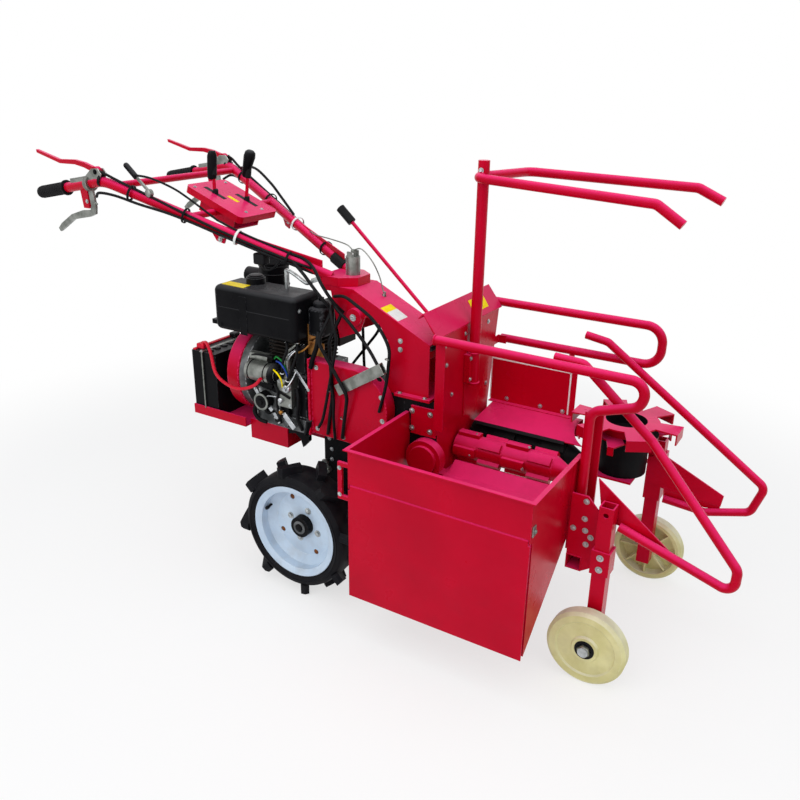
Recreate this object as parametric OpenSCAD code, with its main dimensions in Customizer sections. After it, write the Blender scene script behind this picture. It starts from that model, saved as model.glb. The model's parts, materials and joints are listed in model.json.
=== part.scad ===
// One-row corn harvester: a two-wheeled walk-behind power unit that pushes a picking header.
// X points forward to the header, Y to the machine's left, Z up, and the ground is at Z = 0.

/* [Drive wheels] */
// Diameter of the drive tyres over the lugs
tyre_d = 390; // [360:2:430]
// Width of the drive tyres
tyre_w = 104; // [90:1:120]
// Diameter of the drive rims over their flanges
rim_d = 278; // [240:2:290]
// Distance between the middles of the drive tyres
track = 448; // [420:2:520]
// Number of lugs on each side of a drive tyre
lug_count = 8; // [6:1:12]
// Height of the lugs
lug_h = 24; // [14:1:28]
// Thickness of a lug along the tread
lug_t = 24; // [12:1:30]

/* [Gauge wheels] */
// Diameter of the gauge wheels
gauge_d = 200; // [180:2:230]
// Width of the gauge wheels
gauge_w = 44; // [34:1:54]
// Distance from the drive axle to the gauge wheels' axle
wheelbase = 837; // [800:1:880]
// Side of the square gauge legs
leg_side = 36; // [30:1:42]
// Height of the gauge legs' open tops
leg_top = 470; // [450:2:490]

/* [Ear bin] */
// Distance from the drive axle to the bin's rear wall
bin_rear = 250; // [240:1:256]
// Length of the bin
bin_len = 485; // [440:1:500]
// Distance from the machine's middle to the bin's door
bin_reach = 355; // [320:1:400]
// Height of the bin's rim
bin_top = 551; // [520:1:580]
// Height of the seam between the bin's band and its door
bin_seam = 456; // [430:1:480]
// Height of the door's lower edge
bin_bottom = 130; // [110:1:180]
// Thickness of the sheet metal
sheet = 3; // [2:0.5:4]

/* [Picking header] */
// Offset of the stalk lane to the left of the drive wheels' middle
lane_y = 103; // [98:1:108]
// Height of the snapping rolls' axes
roll_z = 432; // [428:1:440]
// Radius of the snapping rolls over their bars
roll_r = 45; // [38:1:46]
// Running gap between the snapping rolls
roll_gap = 7; // [6:1:14]
// Length of the snapping rolls
roll_len = 335; // [280:1:350]
// Distance from the drive axle to the header's rear wall
wall_x = 338; // [332:1:344]
// Height of the rear wall
wall_top = 772; // [740:1:800]
// Rise of the hood over the rear wall
hood_rise = 58; // [30:1:80]
// Height of the guide rails' upper tubes
rail_z = 776; // [760:1:800]
// Diameter of the rail and divider tubes
rail_d = 24; // [20:0.5:26]
// Height of the stalk fork's mast
mast_top = 1200; // [1120:5:1280]
// Distance from the drive axle to the divider tips
front_reach = 1146; // [1120:1:1180]
// Reach of the gathering wheel's arms
star_r = 143; // [125:1:150]

/* [Handlebar] */
// Distance from the drive axle back to the ends of the grips
rear_reach = 925; // [880:5:1000]
// Height of the handlebar at its bend
bar_z = 1108; // [1060:2:1160]
// Distance between the two grips
bar_span = 512; // [440:2:600]
// Diameter of the handlebar tube
bar_d = 28; // [24:0.5:32]
// Height of the arch's top, where the handlebar swivels
arch_top = 860; // [845:1:890]

/* [Power unit] */
// Height of the tray under the engine
tray_z = 421; // [410:1:430]
// Radius of the fan housing
fan_r = 128; // [115:1:135]
// Height of the fuel tank's underside
tank_z = 700; // [690:1:715]
// Height of the fuel tank
tank_h = 132; // [100:1:140]

/* [Hidden] */
$fn = 64;

// Running and seating clearances
run_gap = 0.05;
seat_gap = 0.3;
// How far a bend is swelled so that the straight stretches end inside it
bend_swell = 0.15;

// Drive wheels
axle_z = tyre_d / 2;
wheel_y = track / 2;
rim_r = rim_d / 2;
rim_half = 40;
rim_lip = 6;
barrel_r = rim_r - 17;
disc_w = -5;
hub_r = 66;
nose_r = 31;
axle_r = 13;
axle_tube_r = 30;

// The machine's reach to each side, which centres it over the origin
gauge_gap = 4;
gauge_y_off = leg_side / 2 + gauge_gap + gauge_w / 2;
leg_right_y = lane_y - 235;
leg_left_y = lane_y + 215;
nut_h = 12;
left_reach = leg_left_y + gauge_y_off + gauge_w / 2 + nut_h + 1;
bin_lip = 9;
right_reach = bin_reach + bin_lip;
origin = [(front_reach - rear_reach) / 2, (left_reach - right_reach) / 2, 0];

// Gearbox and header gear case
gear_half = 60;
gear_rear = -42;
gear_front = wall_x - sheet - 100;
gear_top = 590;
case_right = -63;
case_front = wall_x - sheet;
cover_t = 45;
cover_y = -gear_half - cover_t;
cover_mid = [92, 538];
cover_r = 112;

// Header
header_right = -80;
header_left = 302;
wall_flange = 24;
roll_pitch = 2 * roll_r + roll_gap;
roll_right_y = lane_y - roll_pitch / 2;
roll_left_y = lane_y + roll_pitch / 2;
roll_rear = wall_x + 7;
roll_shaft_r = 12;
sill_top_right = 385;
sill_top_left = 460;
sill = 30;
sill_left_y = header_left - 15;
shield_y = header_left - 52;
cover_z = 500;
rail_r = rail_d / 2;
rail_right_y = header_right - rail_r - seat_gap;
rail_left_y = header_left + rail_r + seat_gap;
bin_front = bin_rear + bin_len;
bin_inner = -66;
floor_high = 375;
sleeve = leg_side + 10;
sleeve_top = 354;
sleeve_low = 290;
star_x = wheelbase - 75;
star_y = lane_y + 115;
drum_top = 500;
drum_low = 400;
drum_r = 66;

// Power unit
crank_z = tray_z + fan_r + 3;
engine_rear = -260;
engine_front = -60;
engine_half = 110;
tank_rear = engine_rear - 102;
tank_front = engine_front - 5;
tank_right = -150;
tank_left = -26;
fan_rear = engine_rear - 40;
recoil_rear = fan_rear - 65;
starter_r = 30;
starter_z = 590;
starter_y = -engine_half + 15 - starter_r - seat_gap;
battery_tray_z = tray_z - 20;
battery_right = -130;
battery_box = [95, 190, 203];
battery_rear = recoil_rear - 25 - battery_box[0];

// Handlebar
post_x = 25;
post_r = 20;
post_h = 50;
pin_r = 18;
arch_fall = 115 / 241;
bar_r = bar_d / 2;
bar_y = bar_span / 2;
grip_len = 125;
yoke_z = arch_top + 0.5;
yoke_h = 24;

// Colours
red = [0.78, 0.02, 0.10];
black = [0.05, 0.05, 0.06];
zinc = [0.72, 0.74, 0.76];
alloy = [0.62, 0.63, 0.64];

function unit(v) = v / norm(v);

// Puts children drawn round the drive axle's middle on the ground into the part's own frame
module placed() {
    translate(-origin) children();
}

// Turns children drawn along +Z to run from point a towards point b
module along(a, b) {
    d = b - a;
    tilt = acos(d[2] / norm(d));
    turn = atan2(d[1], d[0]);
    translate(a) rotate([0, tilt, turn]) children();
}

module rod(a, b, r) {
    along(a, b) cylinder(r = r, h = norm(b - a));
}

// A tube of radius r through points p with rounded corners of radius bend
module bent_tube(p, r, bend) {
    last = len(p) - 1;
    heading = [for (i = [0 : last - 1]) unit(p[i + 1] - p[i])];
    turned = [for (i = [1 : 1 : last - 1]) acos(heading[i - 1] * heading[i])];
    reach = [0, for (t = turned) bend * tan(t / 2), 0];
    for (i = [0 : last - 1])
        rod(p[i] + heading[i] * (reach[i] - (i == 0 ? 0 : 1)),
            p[i + 1] - heading[i] * (reach[i + 1] - (i == last - 1 ? 0 : 1)), r);
    for (i = [1 : 1 : last - 1])
        tube_bend(p[i], heading[i - 1], heading[i], r + bend_swell, bend);
}

// One round corner of a tube at point p, from heading a to heading b
module tube_bend(p, a, b, r, bend) {
    angle = acos(a * b);
    start = p - a * bend * tan(angle / 2);
    middle = p + unit(b - a) * bend / cos(angle / 2);
    x = unit(start - middle);
    z = cross(x, a);
    m = middle;
    multmatrix([[x[0], a[0], z[0], m[0]], [x[1], a[1], z[1], m[1]], [x[2], a[2], z[2], m[2]]])
        rotate_extrude(angle = angle) translate([bend, 0]) circle(r = r);
}

// A flat plate: an outline in X and Z, from y to y + t
module plate_xz(outline, y, t) {
    translate([0, y + t, 0]) rotate([90, 0, 0]) linear_extrude(t) polygon(outline);
}

// A length of section: an outline in Y and Z, from x to x + t
module plate_yz(outline, x, t) {
    translate([x, 0, 0]) rotate([90, 0, 90]) linear_extrude(t) polygon(outline);
}

// A box given by its lowest and highest corners
module block(low, high) {
    translate(low) cube(high - low);
}

// A solid with its axis along Y, drawn from a profile of radius and distance outwards
module wheel_turned(side) {
    translate([0, side * wheel_y, axle_z]) rotate([-90 * side, 0, 0]) rotate_extrude() children();
}

// Drive wheels, side is -1 on the right and 1 on the left
module tyre(side) {
    tread_r = axle_z - lug_h;
    half = tyre_w / 2;
    bead = rim_half - seat_gap;
    color(black) union() {
        wheel_turned(side) polygon([
            [barrel_r + seat_gap, -bead], [rim_r + seat_gap, -bead], [rim_r + 4, -half + 5],
            [rim_r + 14, -half], [tread_r - 12, -half + 1], [tread_r - 3, -half + 8],
            [tread_r, -half + 18], [tread_r + 2, 0], [tread_r, half - 18],
            [tread_r - 3, half - 8], [tread_r - 12, half - 1], [rim_r + 14, half],
            [rim_r + 4, half - 5], [rim_r + seat_gap, bead], [barrel_r + seat_gap, bead]]);
        translate([0, side * wheel_y, axle_z]) lugs(tread_r, half);
    }
}

module lugs(tread_r, half) {
    lug_sink = 8;
    slant = 38;
    reach = half / cos(slant);
    intersection() {
        for (edge = [-1, 1], i = [0 : lug_count - 1])
            rotate([0, (i + (edge + 1) / 4) * 360 / lug_count, 0])
                translate([0, 0, tread_r - lug_sink]) rotate([0, 0, edge * slant])
                    translate([-lug_t / 2, edge > 0 ? 0 : -reach, 0])
                        cube([lug_t, reach, lug_h + 2 * lug_sink]);
        rotate([90, 0, 0]) cylinder(r = axle_z, h = 2 * half, center = true);
    }
}

module rim(side) {
    vent_ring = 88;
    vent_r = 8;
    vents = 4;
    vent_turn = 27;
    centre_r = nose_r + seat_gap;
    color([0.90, 0.93, 0.97]) difference() {
        union() {
            wheel_turned(side) polygon([
                [barrel_r - sheet, -rim_half], [rim_r - sheet, -rim_half - rim_lip],
                [rim_r, -rim_half - rim_lip], [rim_r, -rim_half], [barrel_r, -rim_half],
                [barrel_r, rim_half], [rim_r, rim_half], [rim_r, rim_half + rim_lip],
                [rim_r - sheet, rim_half + rim_lip], [barrel_r - sheet, rim_half]]);
            wheel_turned(side) polygon([
                [centre_r, disc_w - 5], [vent_ring + 10, disc_w - 5], [barrel_r - 1, disc_w + 14],
                [barrel_r - 1, disc_w + 20], [vent_ring + 9, disc_w], [centre_r, disc_w]]);
        }
        for (i = [0 : vents - 1])
            translate([0, side * wheel_y, axle_z]) rotate([0, i * 360 / vents - vent_turn, 0])
                translate([vent_ring, 0, 0]) rotate([90, 0, 0])
                    cylinder(r = vent_r, h = tyre_w, center = true);
    }
}

module hub(side) {
    sleeve_r = 25;
    nose = 22;
    inner = gear_half + 30 - wheel_y;
    back = wheel_y - gear_half - 88;
    flange_t = 10;
    face = disc_w - 5;
    color(black) difference() {
        wheel_turned(side) polygon([
            [0, inner], [axle_r, inner], [axle_r, -back], [sleeve_r, -back],
            [sleeve_r, face - flange_t], [hub_r, face - flange_t], [hub_r, face],
            [nose_r, face], [nose_r, disc_w + nose], [0, disc_w + nose]]);
        translate([0, side * wheel_y, axle_z]) rotate([-90 * side, 0, 0])
            translate([0, 0, disc_w + 6]) cylinder(r = axle_r, h = nose);
    }
}

// Power unit: transmission
module gearbox() {
    foot_r = 62;
    tube_end = gear_half + 87;
    color(black) difference() {
        union() {
            plate_xz([[gear_rear, axle_z], [gear_rear, gear_top - 40], [gear_rear + 70, gear_top],
                      [gear_front, gear_top], [gear_front, 400], [130, 330], [foot_r, axle_z]],
                     -gear_half, 2 * gear_half);
            translate([0, 0, axle_z]) rotate([90, 0, 0])
                cylinder(r = foot_r, h = 2 * gear_half, center = true);
            translate([0, 0, axle_z]) rotate([90, 0, 0])
                cylinder(r = axle_tube_r, h = 2 * tube_end, center = true);
        }
        translate([0, 0, axle_z]) rotate([90, 0, 0])
            cylinder(r = axle_r + run_gap, h = 2 * tube_end + 2, center = true);
    }
}

module clutch_cover() {
    round_r = cover_r;
    middle = cover_mid;
    rear = -48;
    low = 428;
    high = 650;
    color(red) union() {
        plate_xz([[rear, low], [middle[0], low - 2], [middle[0], high], [rear, high]], cover_y, cover_t);
        intersection() {
            translate([middle[0], cover_y + cover_t, middle[1]]) rotate([90, 0, 0])
                cylinder(r = round_r, h = cover_t);
            block([middle[0] - 1, cover_y, low - 2], [middle[0] + round_r, cover_y + cover_t, high]);
        }
        block([rear - 8, cover_y - 10, low - 6], [rear, cover_y + cover_t, high + 6]);
    }
}

module engine_block() {
    fin_count = 9;
    fin_t = 4;
    fin_rear = -215;
    fin_front = -75;
    case_top = 600;
    head_top = tank_z - seat_gap;
    pitch = (head_top - case_top) / fin_count;
    color(alloy) union() {
        block([engine_rear, -engine_half, tray_z], [engine_front, engine_half, tray_z + 40]);
        block([engine_rear, -engine_half + 15, tray_z], [engine_front, engine_half - 15, case_top]);
        block([fin_rear + 15, -70, case_top - 1], [fin_front - 15, 50, head_top]);
        for (i = [0 : fin_count - 1])
            block([fin_rear, -85, case_top + (i + 1) * pitch - fin_t],
                  [fin_front, 65, case_top + (i + 1) * pitch]);
    }
}

// Rounds with their axis along X, from profiles of radius and distance forward
module crank_turned() {
    translate([0, 0, crank_z]) rotate([90, 0, 90]) rotate_extrude() children();
}

module fan_housing() {
    wall = 8;
    color(alloy) crank_turned() polygon([
        [0, engine_rear], [fan_r - 25, engine_rear], [fan_r, engine_rear - 14],
        [fan_r, fan_rear], [fan_r - wall, fan_rear], [fan_r - wall, engine_rear - 20],
        [0, engine_rear - 20]]);
}

module recoil_cover() {
    rim_w = 45;
    rim_r = fan_r + 4;
    color(red) crank_turned() polygon([
        [0, recoil_rear], [45, recoil_rear], [fan_r - 25, recoil_rear + 6],
        [rim_r, fan_rear - rim_w], [rim_r, fan_rear], [0, fan_rear]]);
}

module fuel_tank() {
    corner = 18;
    low = [tank_rear, tank_right, tank_z] + [corner, corner, corner];
    high = [tank_front, tank_left, tank_z + tank_h] - [corner, corner, corner];
    cap_r = 28;
    lug = [40, 26, 14];
    color(black) union() {
        hull() for (x = [low[0], high[0]], y = [low[1], high[1]], z = [low[2], high[2]])
            translate([x, y, z]) sphere(r = corner, $fn = 24);
        translate([tank_rear + 95, (tank_right + tank_left) / 2 + 20, tank_z + tank_h - 6])
            cylinder(r = cap_r, h = 24);
        translate([tank_rear - 26, tank_right + corner, tank_z + 8]) cube(lug);
    }
}

module air_filter() {
    stem = [engine_rear + 20, 75];
    stem_r = 20;
    middle = [engine_rear - 80, 100];
    body_r = 46;
    low = 760;
    lid_z = low + 97;
    duct_h = 24;
    snout_r = 24;
    snout_z = low + 44;
    color(black) union() {
        translate([stem[0], stem[1], 600]) cylinder(r = stem_r, h = low - 599);
        block([middle[0], stem[1] - stem_r, low], [stem[0] + stem_r, stem[1] + stem_r, low + duct_h]);
        translate([middle[0], middle[1], low]) cylinder(r = body_r, h = lid_z - low + 1);
        translate([middle[0], middle[1], lid_z]) cylinder(r1 = body_r + 5, r2 = body_r - 8, h = 34);
        rod([middle[0] - body_r - 58, middle[1], snout_z], [middle[0], middle[1], snout_z], snout_r);
    }
}

module muffler() {
    low = [-165, 65 + seat_gap, 640];
    high = [-70, 150, 760];
    color([0.14, 0.14, 0.15]) union() {
        block(low, high);
        translate([-118, 150, 730]) rotate([-90, 0, 0]) cylinder(r = 16, h = 45);
    }
}

module starter_motor() {
    r = starter_r;
    y = starter_y;
    z = starter_z;
    color(zinc) union() {
        rod([engine_rear + 5, y, z], [engine_rear + 90, y, z], r);
        rod([engine_rear + 89, y, z], [engine_rear + 105, y, z], r - 10);
        rod([engine_rear + 5, y + 12, z + 40], [engine_rear + 70, y + 12, z + 40], 14);
    }
}

module fuel_system() {
    y = -engine_half + 15;
    pump_x = engine_front - 65;
    filter_x = engine_front - 150;
    color(zinc) union() {
        block([pump_x - 25, y - 38, 500], [pump_x + 25, y, 585]);
        rod([pump_x, y - 20, 584], [pump_x, y - 20, 640], 12);
        rod([filter_x, y, 500], [filter_x, y - 45, 500], 26);
        bent_tube([[pump_x, y - 20, 636], [pump_x, y - 20, 662], [pump_x + 30, y - 8, 690]], 4, 12);
    }
}

module tank_bracket() {
    t = 4;
    x = tank_front + seat_gap;
    low = tank_z - 38;
    reach = 55;
    color([0.80, 0.60, 0.18]) union() {
        block([x, -95, low], [x + t, -40, tank_z + 50]);
        block([x - 10, -85, low], [x + 1, -45, low + t]);
        block([x, -95, low], [x + reach, -95 + t, low + 40]);
    }
}

module engine_tray() {
    floor_t = 4;
    low = tray_z - 63;
    front = engine_rear + 122;
    tongue = [55, 30];
    rear = battery_rear - floor_t;
    right = battery_right - floor_t;
    left = battery_right + battery_box[1] + floor_t;
    wall_h = 30;
    color(red) union() {
        difference() {
            block([engine_rear - 20, -engine_half, low], [front, engine_half, tray_z]);
            block([engine_rear - 21, -engine_half + floor_t, low - 1],
                  [front - floor_t, engine_half - floor_t, tray_z - floor_t]);
        }
        block([front - 1, -tongue[0], tray_z - tongue[1]], [gear_rear, tongue[0], tray_z]);
        difference() {
            block([rear, right, battery_tray_z], [engine_rear - 19, left, battery_tray_z + wall_h]);
            block([rear + floor_t, right + floor_t, battery_tray_z + floor_t],
                  [engine_rear - 18, left - floor_t, battery_tray_z + wall_h + 1]);
        }
    }
}

module battery() {
    low = [battery_rear, battery_right, battery_tray_z + 4];
    color(black) union() {
        block(low + [seat_gap, seat_gap, 0], low + battery_box - [0, seat_gap, 25]);
        block(low + [seat_gap, seat_gap, battery_box[2] - 26], low + battery_box - [0, seat_gap, 0]);
        for (y = [25, battery_box[1] - 25])
            translate(low + [25, y, battery_box[2] - 1]) cylinder(r = 9, h = 14);
    }
}

module battery_lead() {
    r = 5;
    top = battery_tray_z + 4 + battery_box[2] + 13 + r + seat_gap;
    y = starter_y - starter_r - r - seat_gap;
    color(red) bent_tube([[battery_rear + 25, battery_right + 25, top],
        [battery_rear + 80, battery_right - 5, top], [battery_rear + 112, battery_right - 22, starter_z - 45],
        [engine_rear + 10, y - 6, starter_z - 68], [engine_rear + 75, y, starter_z - 4]], r, 14);
}

// Arch from the header's gear case up to the handlebar's swivel
module arch() {
    half = 60;
    wall = 5;
    rear = -35;
    bend_x = 65;
    column_rear = 178;
    column_front = 306;
    web_rear = -8;
    web_front = 105;
    lug = [75, arch_top - 74];
    lug_r = 24;
    shoulder = arch_top - (column_front - bend_x) * arch_fall;
    color(red) difference() {
        union() {
            difference() {
                plate_xz([[rear, arch_top], [bend_x, arch_top], [column_front, shoulder],
                          [column_front, gear_top], [column_rear, gear_top],
                          [column_rear, arch_top - 125], [column_rear - 28, arch_top - 84],
                          [web_front, arch_top - 70], [web_front - 17, arch_top - 115],
                          [web_rear + 28, arch_top - 145], [web_rear, arch_top - 15],
                          [rear, arch_top - 15]], -half, 2 * half);
                plate_xz([[rear - 1, arch_top - wall], [bend_x - 1, arch_top - wall],
                          [column_front - wall, shoulder - wall], [column_front + 1, shoulder - 45],
                          [column_front + 1, gear_top + wall], [column_rear + wall, gear_top + wall],
                          [column_rear + wall, gear_top + 10], [column_rear - 1, gear_top + 10],
                          [bend_x - 11, arch_top - 160], [rear - 1, arch_top - 160]],
                         -half + wall, 2 * (half - wall));
            }
            translate([post_x, 0, arch_top - 70]) cylinder(r = pin_r + 12, h = 70);
            rod([lug[0], -half - 14, lug[1]], [lug[0], -half + 1, lug[1]], lug_r);
            block([cover_mid[0] + cover_r + 4, -half - 16, gear_top],
                  [column_front + 12, half + 16, gear_top + 8]);
        }
        translate([post_x, 0, arch_top - 71]) cylinder(r = pin_r + run_gap, h = 80);
    }
}

module swivel_post() {
    ear_t = 5;
    ear_h = 16;
    color(zinc) union() {
        translate([post_x, 0, arch_top - 60]) cylinder(r = pin_r, h = 60 + yoke_h + 2);
        translate([post_x, 0, yoke_z + yoke_h]) cylinder(r = post_r, h = post_h);
        for (y = [-post_r + 2, post_r - 2 - ear_t])
            translate([post_x - 8, y, yoke_z + yoke_h + post_h - 2]) cube([16, ear_t, ear_h]);
    }
}

module side_bar() {
    length = 172;
    width = 32;
    depth = 18;
    slope = 32;
    color(zinc) translate([60, cover_y - depth, 572]) rotate([0, -slope, 0]) difference() {
        cube([length, depth, width]);
        translate([length - 30, 3, 4]) cube([31, depth - 6, width - 8]);
    }
}

lever_foot = [case_front - 10, 0, wall_top - 15];
lever_dir = unit([-238, 0, 212]);
lever_len = 404;

module header_lever() {
    foot = [22, 14, 20];
    color(red) union() {
        rod(lever_foot, lever_foot + lever_dir * lever_len, 5);
        block([case_front - foot[0], -foot[1], lever_foot[2] - foot[2]],
              [case_front, foot[1], lever_foot[2] + foot[2] / 2]);
    }
}

module lever_grip() {
    top = lever_foot + lever_dir * (lever_len + seat_gap);
    color(black) rod(top, top + lever_dir * 52, 12);
}

// Handlebar: right and left halves are mirrored
module both_sides() {
    for (side = [0, 1]) mirror([0, side, 0]) children();
}

bar_start = [-15, -44, yoke_z + yoke_h - 4];
bar_bend = [-641, -bar_y, bar_z];
grip_drop = 0.19;
grip_r = bar_r + 3;
grip_dir = unit([-1, 0, -grip_drop]);
grip_back = rear_reach + grip_r * grip_dir[2] + bar_bend[0];
grip_end = bar_bend + grip_dir * grip_back / -grip_dir[0];
bar_up = [grip_dir[2], 0, -grip_dir[0]];
grip_start = grip_end - grip_dir * grip_len;
cross_r = 10;
brace = bar_start + (bar_bend - bar_start) * 0.62;
cross_bar = bar_start + (bar_bend - bar_start) * 0.95;
lever_base = bar_bend + grip_dir * 84;
lever_t = 8;

// Shift panel on the brace: its front and rear edges, and its sticks as the offset from the middle, the
// distance from the front edge, the length over the panel and the lean
panel_low = [brace[0] + 103, brace[2] - 9.6];
panel_high = [brace[0] - 102, brace[2] + 66.4];
panel_slope = atan2(panel_high[1] - panel_low[1], panel_low[0] - panel_high[0]);
sticks = [[-30, 150, 50, -0.37], [35, 85, 67, -0.21]];
stick_r = 5;

function stick_at(s, z) = [-s[1] + s[3] * z, s[0], z];

module panel_frame() {
    translate([panel_low[0], 0, panel_low[1]]) rotate([0, panel_slope, 0]) children();
}

module handlebar() {
    ear = [[-20, 0], [12, 0], [13, -66], [-10, -66]];
    color(red) union() {
        difference() {
            translate([0, 0, yoke_z]) linear_extrude(yoke_h)
                polygon([[-45, -62], [20, -62], [62, -30], [62, 30], [20, 62], [-45, 62]]);
            translate([post_x, 0, yoke_z - 1]) cylinder(r = pin_r + seat_gap, h = yoke_h + 2);
        }
        both_sides() {
            bent_tube([bar_start, bar_bend, grip_start - grip_dir * seat_gap], bar_r, 90);
            plate_xz([for (e = ear) [lever_base[0] + e[0], lever_base[2] + e[1]]],
                     lever_base[1] - lever_t / 2, lever_t);
        }
        for (p = [brace, cross_bar]) rod(p, [p[0], -p[1], p[2]], cross_r);
    }
}

module grips() {
    knob_r = 10;
    knob_h = 64;
    color(black) union() {
        both_sides() {
            rod(grip_start, grip_end, grip_r);
            rod(grip_start, grip_start + grip_dir * 8, bar_r + 8);
        }
        panel_frame() for (s = sticks)
            rod(stick_at(s, s[2] + seat_gap), stick_at(s, s[2] + knob_h), knob_r);
    }
}

module control_levers() {
    boss_r = 14;
    boss_w = 16;
    lever_w = 10;
    pivot = bar_bend + grip_dir * 20 + bar_up * (bar_r + boss_r + seat_gap);
    blade = [[6, -7], [-46, 8], [-84, 14], [-148, 13], [-246, 37], [-248, 46], [-150, 24], [-84, 27],
             [-44, 22], [0, 10]];
    color(red) both_sides() union() {
        plate_xz([for (b = blade) [pivot[0] + b[0], pivot[2] + b[1]]], pivot[1] - lever_w / 2, lever_w);
        translate(pivot) rotate([90, 0, 0]) cylinder(r = boss_r, h = boss_w, center = true);
    }
}

module brake_levers() {
    clamp_r = bar_r + 8;
    clamp = [52, 66];
    blade = [[16, -12], [34, -10], [40, -60], [36, -80], [10, -90], [-60, -104], [-112, -136],
             [-130, -146], [-137, -136], [-120, -120], [-70, -90], [-20, -74], [16, -70], [22, -58]];
    color(zinc) both_sides() difference() {
        union() {
            along(bar_bend + grip_dir * clamp[0], bar_bend + grip_dir * clamp[1])
                cylinder(r = clamp_r, h = clamp[1] - clamp[0]);
            plate_xz([for (b = blade) [lever_base[0] + b[0], lever_base[2] + b[1]]],
                     lever_base[1] - lever_t / 2, lever_t);
        }
        rod(bar_bend + grip_dir * 30, bar_bend + grip_dir * 120, bar_r + seat_gap);
    }
}

module shift_panel() {
    half = 82;
    t = 4;
    skirt = 16;
    corner = 16;
    length = norm(panel_high - panel_low);
    slot = [80, 14];
    box = [175, 55];
    deep = 58;
    color(red) difference() {
        panel_frame() union() {
            difference() {
                translate([-length, -half, -skirt]) round_slab([length, 2 * half, skirt + t], corner);
                translate([-length + t, -half + t, -skirt - 1])
                    round_slab([length - 2 * t, 2 * (half - t), skirt + 1], corner - t);
                for (s = sticks)
                    translate([-s[1] - slot[0] / 2, s[0] - slot[1] / 2, -1]) cube([slot[0], slot[1], t + 2]);
            }
            translate([-box[0], -box[1], -deep]) cube([box[0] - 40, 2 * box[1], t]);
            for (y = [-box[1], box[1] - t])
                translate([-box[0], y, -deep]) cube([box[0] - 40, t, deep + 1]);
            for (s = sticks) rod(stick_at(s, -deep + 1), stick_at(s, s[2]), stick_r);
        }
        rod([brace[0], -half, brace[2]], [brace[0], half, brace[2]], cross_r + seat_gap);
    }
}

// A slab with round corners of radius r, from its low corner
module round_slab(size, r) {
    translate([r, 0, 0]) cube([size[0] - 2 * r, size[1], size[2]]);
    translate([0, r, 0]) cube([size[0], size[1] - 2 * r, size[2]]);
    for (x = [r, size[0] - r], y = [r, size[1] - r])
        translate([x, y, 0]) cylinder(r = r, h = size[2]);
}

module handlebar_cables() {
    off = bar_r + 5 + seat_gap;
    d = bar_bend - bar_start;
    color(black) both_sides()
        rod(bar_start + d * 0.08 + [0, 0, off + 1], bar_start + d * 0.95 + [0, 0, off + 1], 5);
}

module chassis_cables() {
    r = 5;
    y = cover_y - r - seat_gap;
    over_bar = cover_y - 18 - r - 1;
    color(black) union() {
        bent_tube([[40, -70, 800], [20, y, 720], [28, y, 560], [10, y, 440]], r, 40);
        bent_tube([[10, -76, 800], [-5, over_bar, 720], [92, over_bar, 580], [60, y, 440]], r, 40);
    }
}

// Picking header
module header_gearbox() {
    case_left = 205;
    roll_case_low = 385;
    roll_case_top = 490;
    bore_deep = 40;
    color(black) difference() {
        union() {
            block([gear_front, case_right, 400], [case_front, 75, gear_top]);
            block([case_front - 60, -20, roll_case_low], [case_front, case_left, roll_case_top]);
        }
        for (y = [roll_right_y, roll_left_y])
            rod([case_front - bore_deep, y, roll_z], [case_front + 1, y, roll_z], roll_shaft_r + run_gap);
    }
}

module coupling_plate() {
    t = 5;
    color(red) block([bin_rear + 8, case_right - t, 490], [case_front, case_right, 572]);
}

module rear_wall() {
    low = 335;
    shoulder = 500;
    flange_low = 520;
    shaft_hole = roll_shaft_r + 6;
    panel = [header_right + 4, mast_y - 30];
    left_low = header_left - 57;
    left_top = header_left - 12;
    tab_z = rail_z - rail_drop;
    color(red) difference() {
        union() {
            plate_yz([[header_right, shoulder], [left_low, shoulder], [left_top, wall_top],
                      [header_right, wall_top]], case_front, sheet);
            block([case_front, -60, low], [wall_x, left_low, shoulder + 1]);
            block([wall_x - 1, panel[0], flange_low], [wall_x + sheet, panel[1], wall_top]);
            block([case_front, header_right, flange_low],
                  [wall_x + wall_flange, header_right + sheet, wall_top]);
            block([case_front, left_low, tab_z - rail_r], [wall_x, header_left, tab_z + rail_r]);
            block([case_front, header_left - sheet, tab_z - rail_r],
                  [wall_x + wall_flange, header_left, tab_z + rail_r]);
        }
        for (y = [roll_right_y, roll_left_y])
            rod([case_front - 1, y, roll_z], [wall_x + 1, y, roll_z], shaft_hole);
    }
}

module hood() {
    back = 40;
    lip = 14;
    color(red) union() {
        plate_xz([[wall_x, wall_top], [case_front - back, wall_top + hood_rise],
                  [case_front - back - lip, wall_top + hood_rise - lip],
                  [case_front - back - lip - 1, wall_top + hood_rise - lip + sheet],
                  [case_front - back, wall_top + hood_rise + sheet + 1],
                  [wall_x + sheet, wall_top + sheet], [wall_x + sheet, wall_top]],
                 header_right, header_left - header_right);
        for (y = [header_right, header_left - sheet])
            plate_xz([[case_front, wall_top], [wall_x, wall_top],
                      [case_front - back, wall_top + hood_rise]], y, sheet);
    }
}

mast_r = 15;
mast_x = wall_x + mast_r + 5;
mast_y = 100;

module mast() {
    fork_z = mast_top - 41;
    fork_r = 12;
    near_y = mast_y - mast_r - fork_r + 2;
    far_y = mast_y + 190;
    foot = [28, 40];
    color(red) union() {
        rod([mast_x, mast_y, 600], [mast_x, mast_y, mast_top], mast_r);
        block([wall_x, mast_y - foot[0], 650 - foot[1]], [mast_x, mast_y + foot[0], 650 + foot[1]]);
        bent_tube([[mast_x + 511, near_y, fork_z - 66], [mast_x + 446, near_y, fork_z - 25],
            [mast_x - 20, near_y, fork_z], [mast_x + 45, far_y, fork_z],
            [mast_x + 488, far_y, fork_z - 8], [mast_x + 550, far_y, fork_z - 36]], fork_r, 28);
    }
}

rail_drop = 100;

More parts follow.
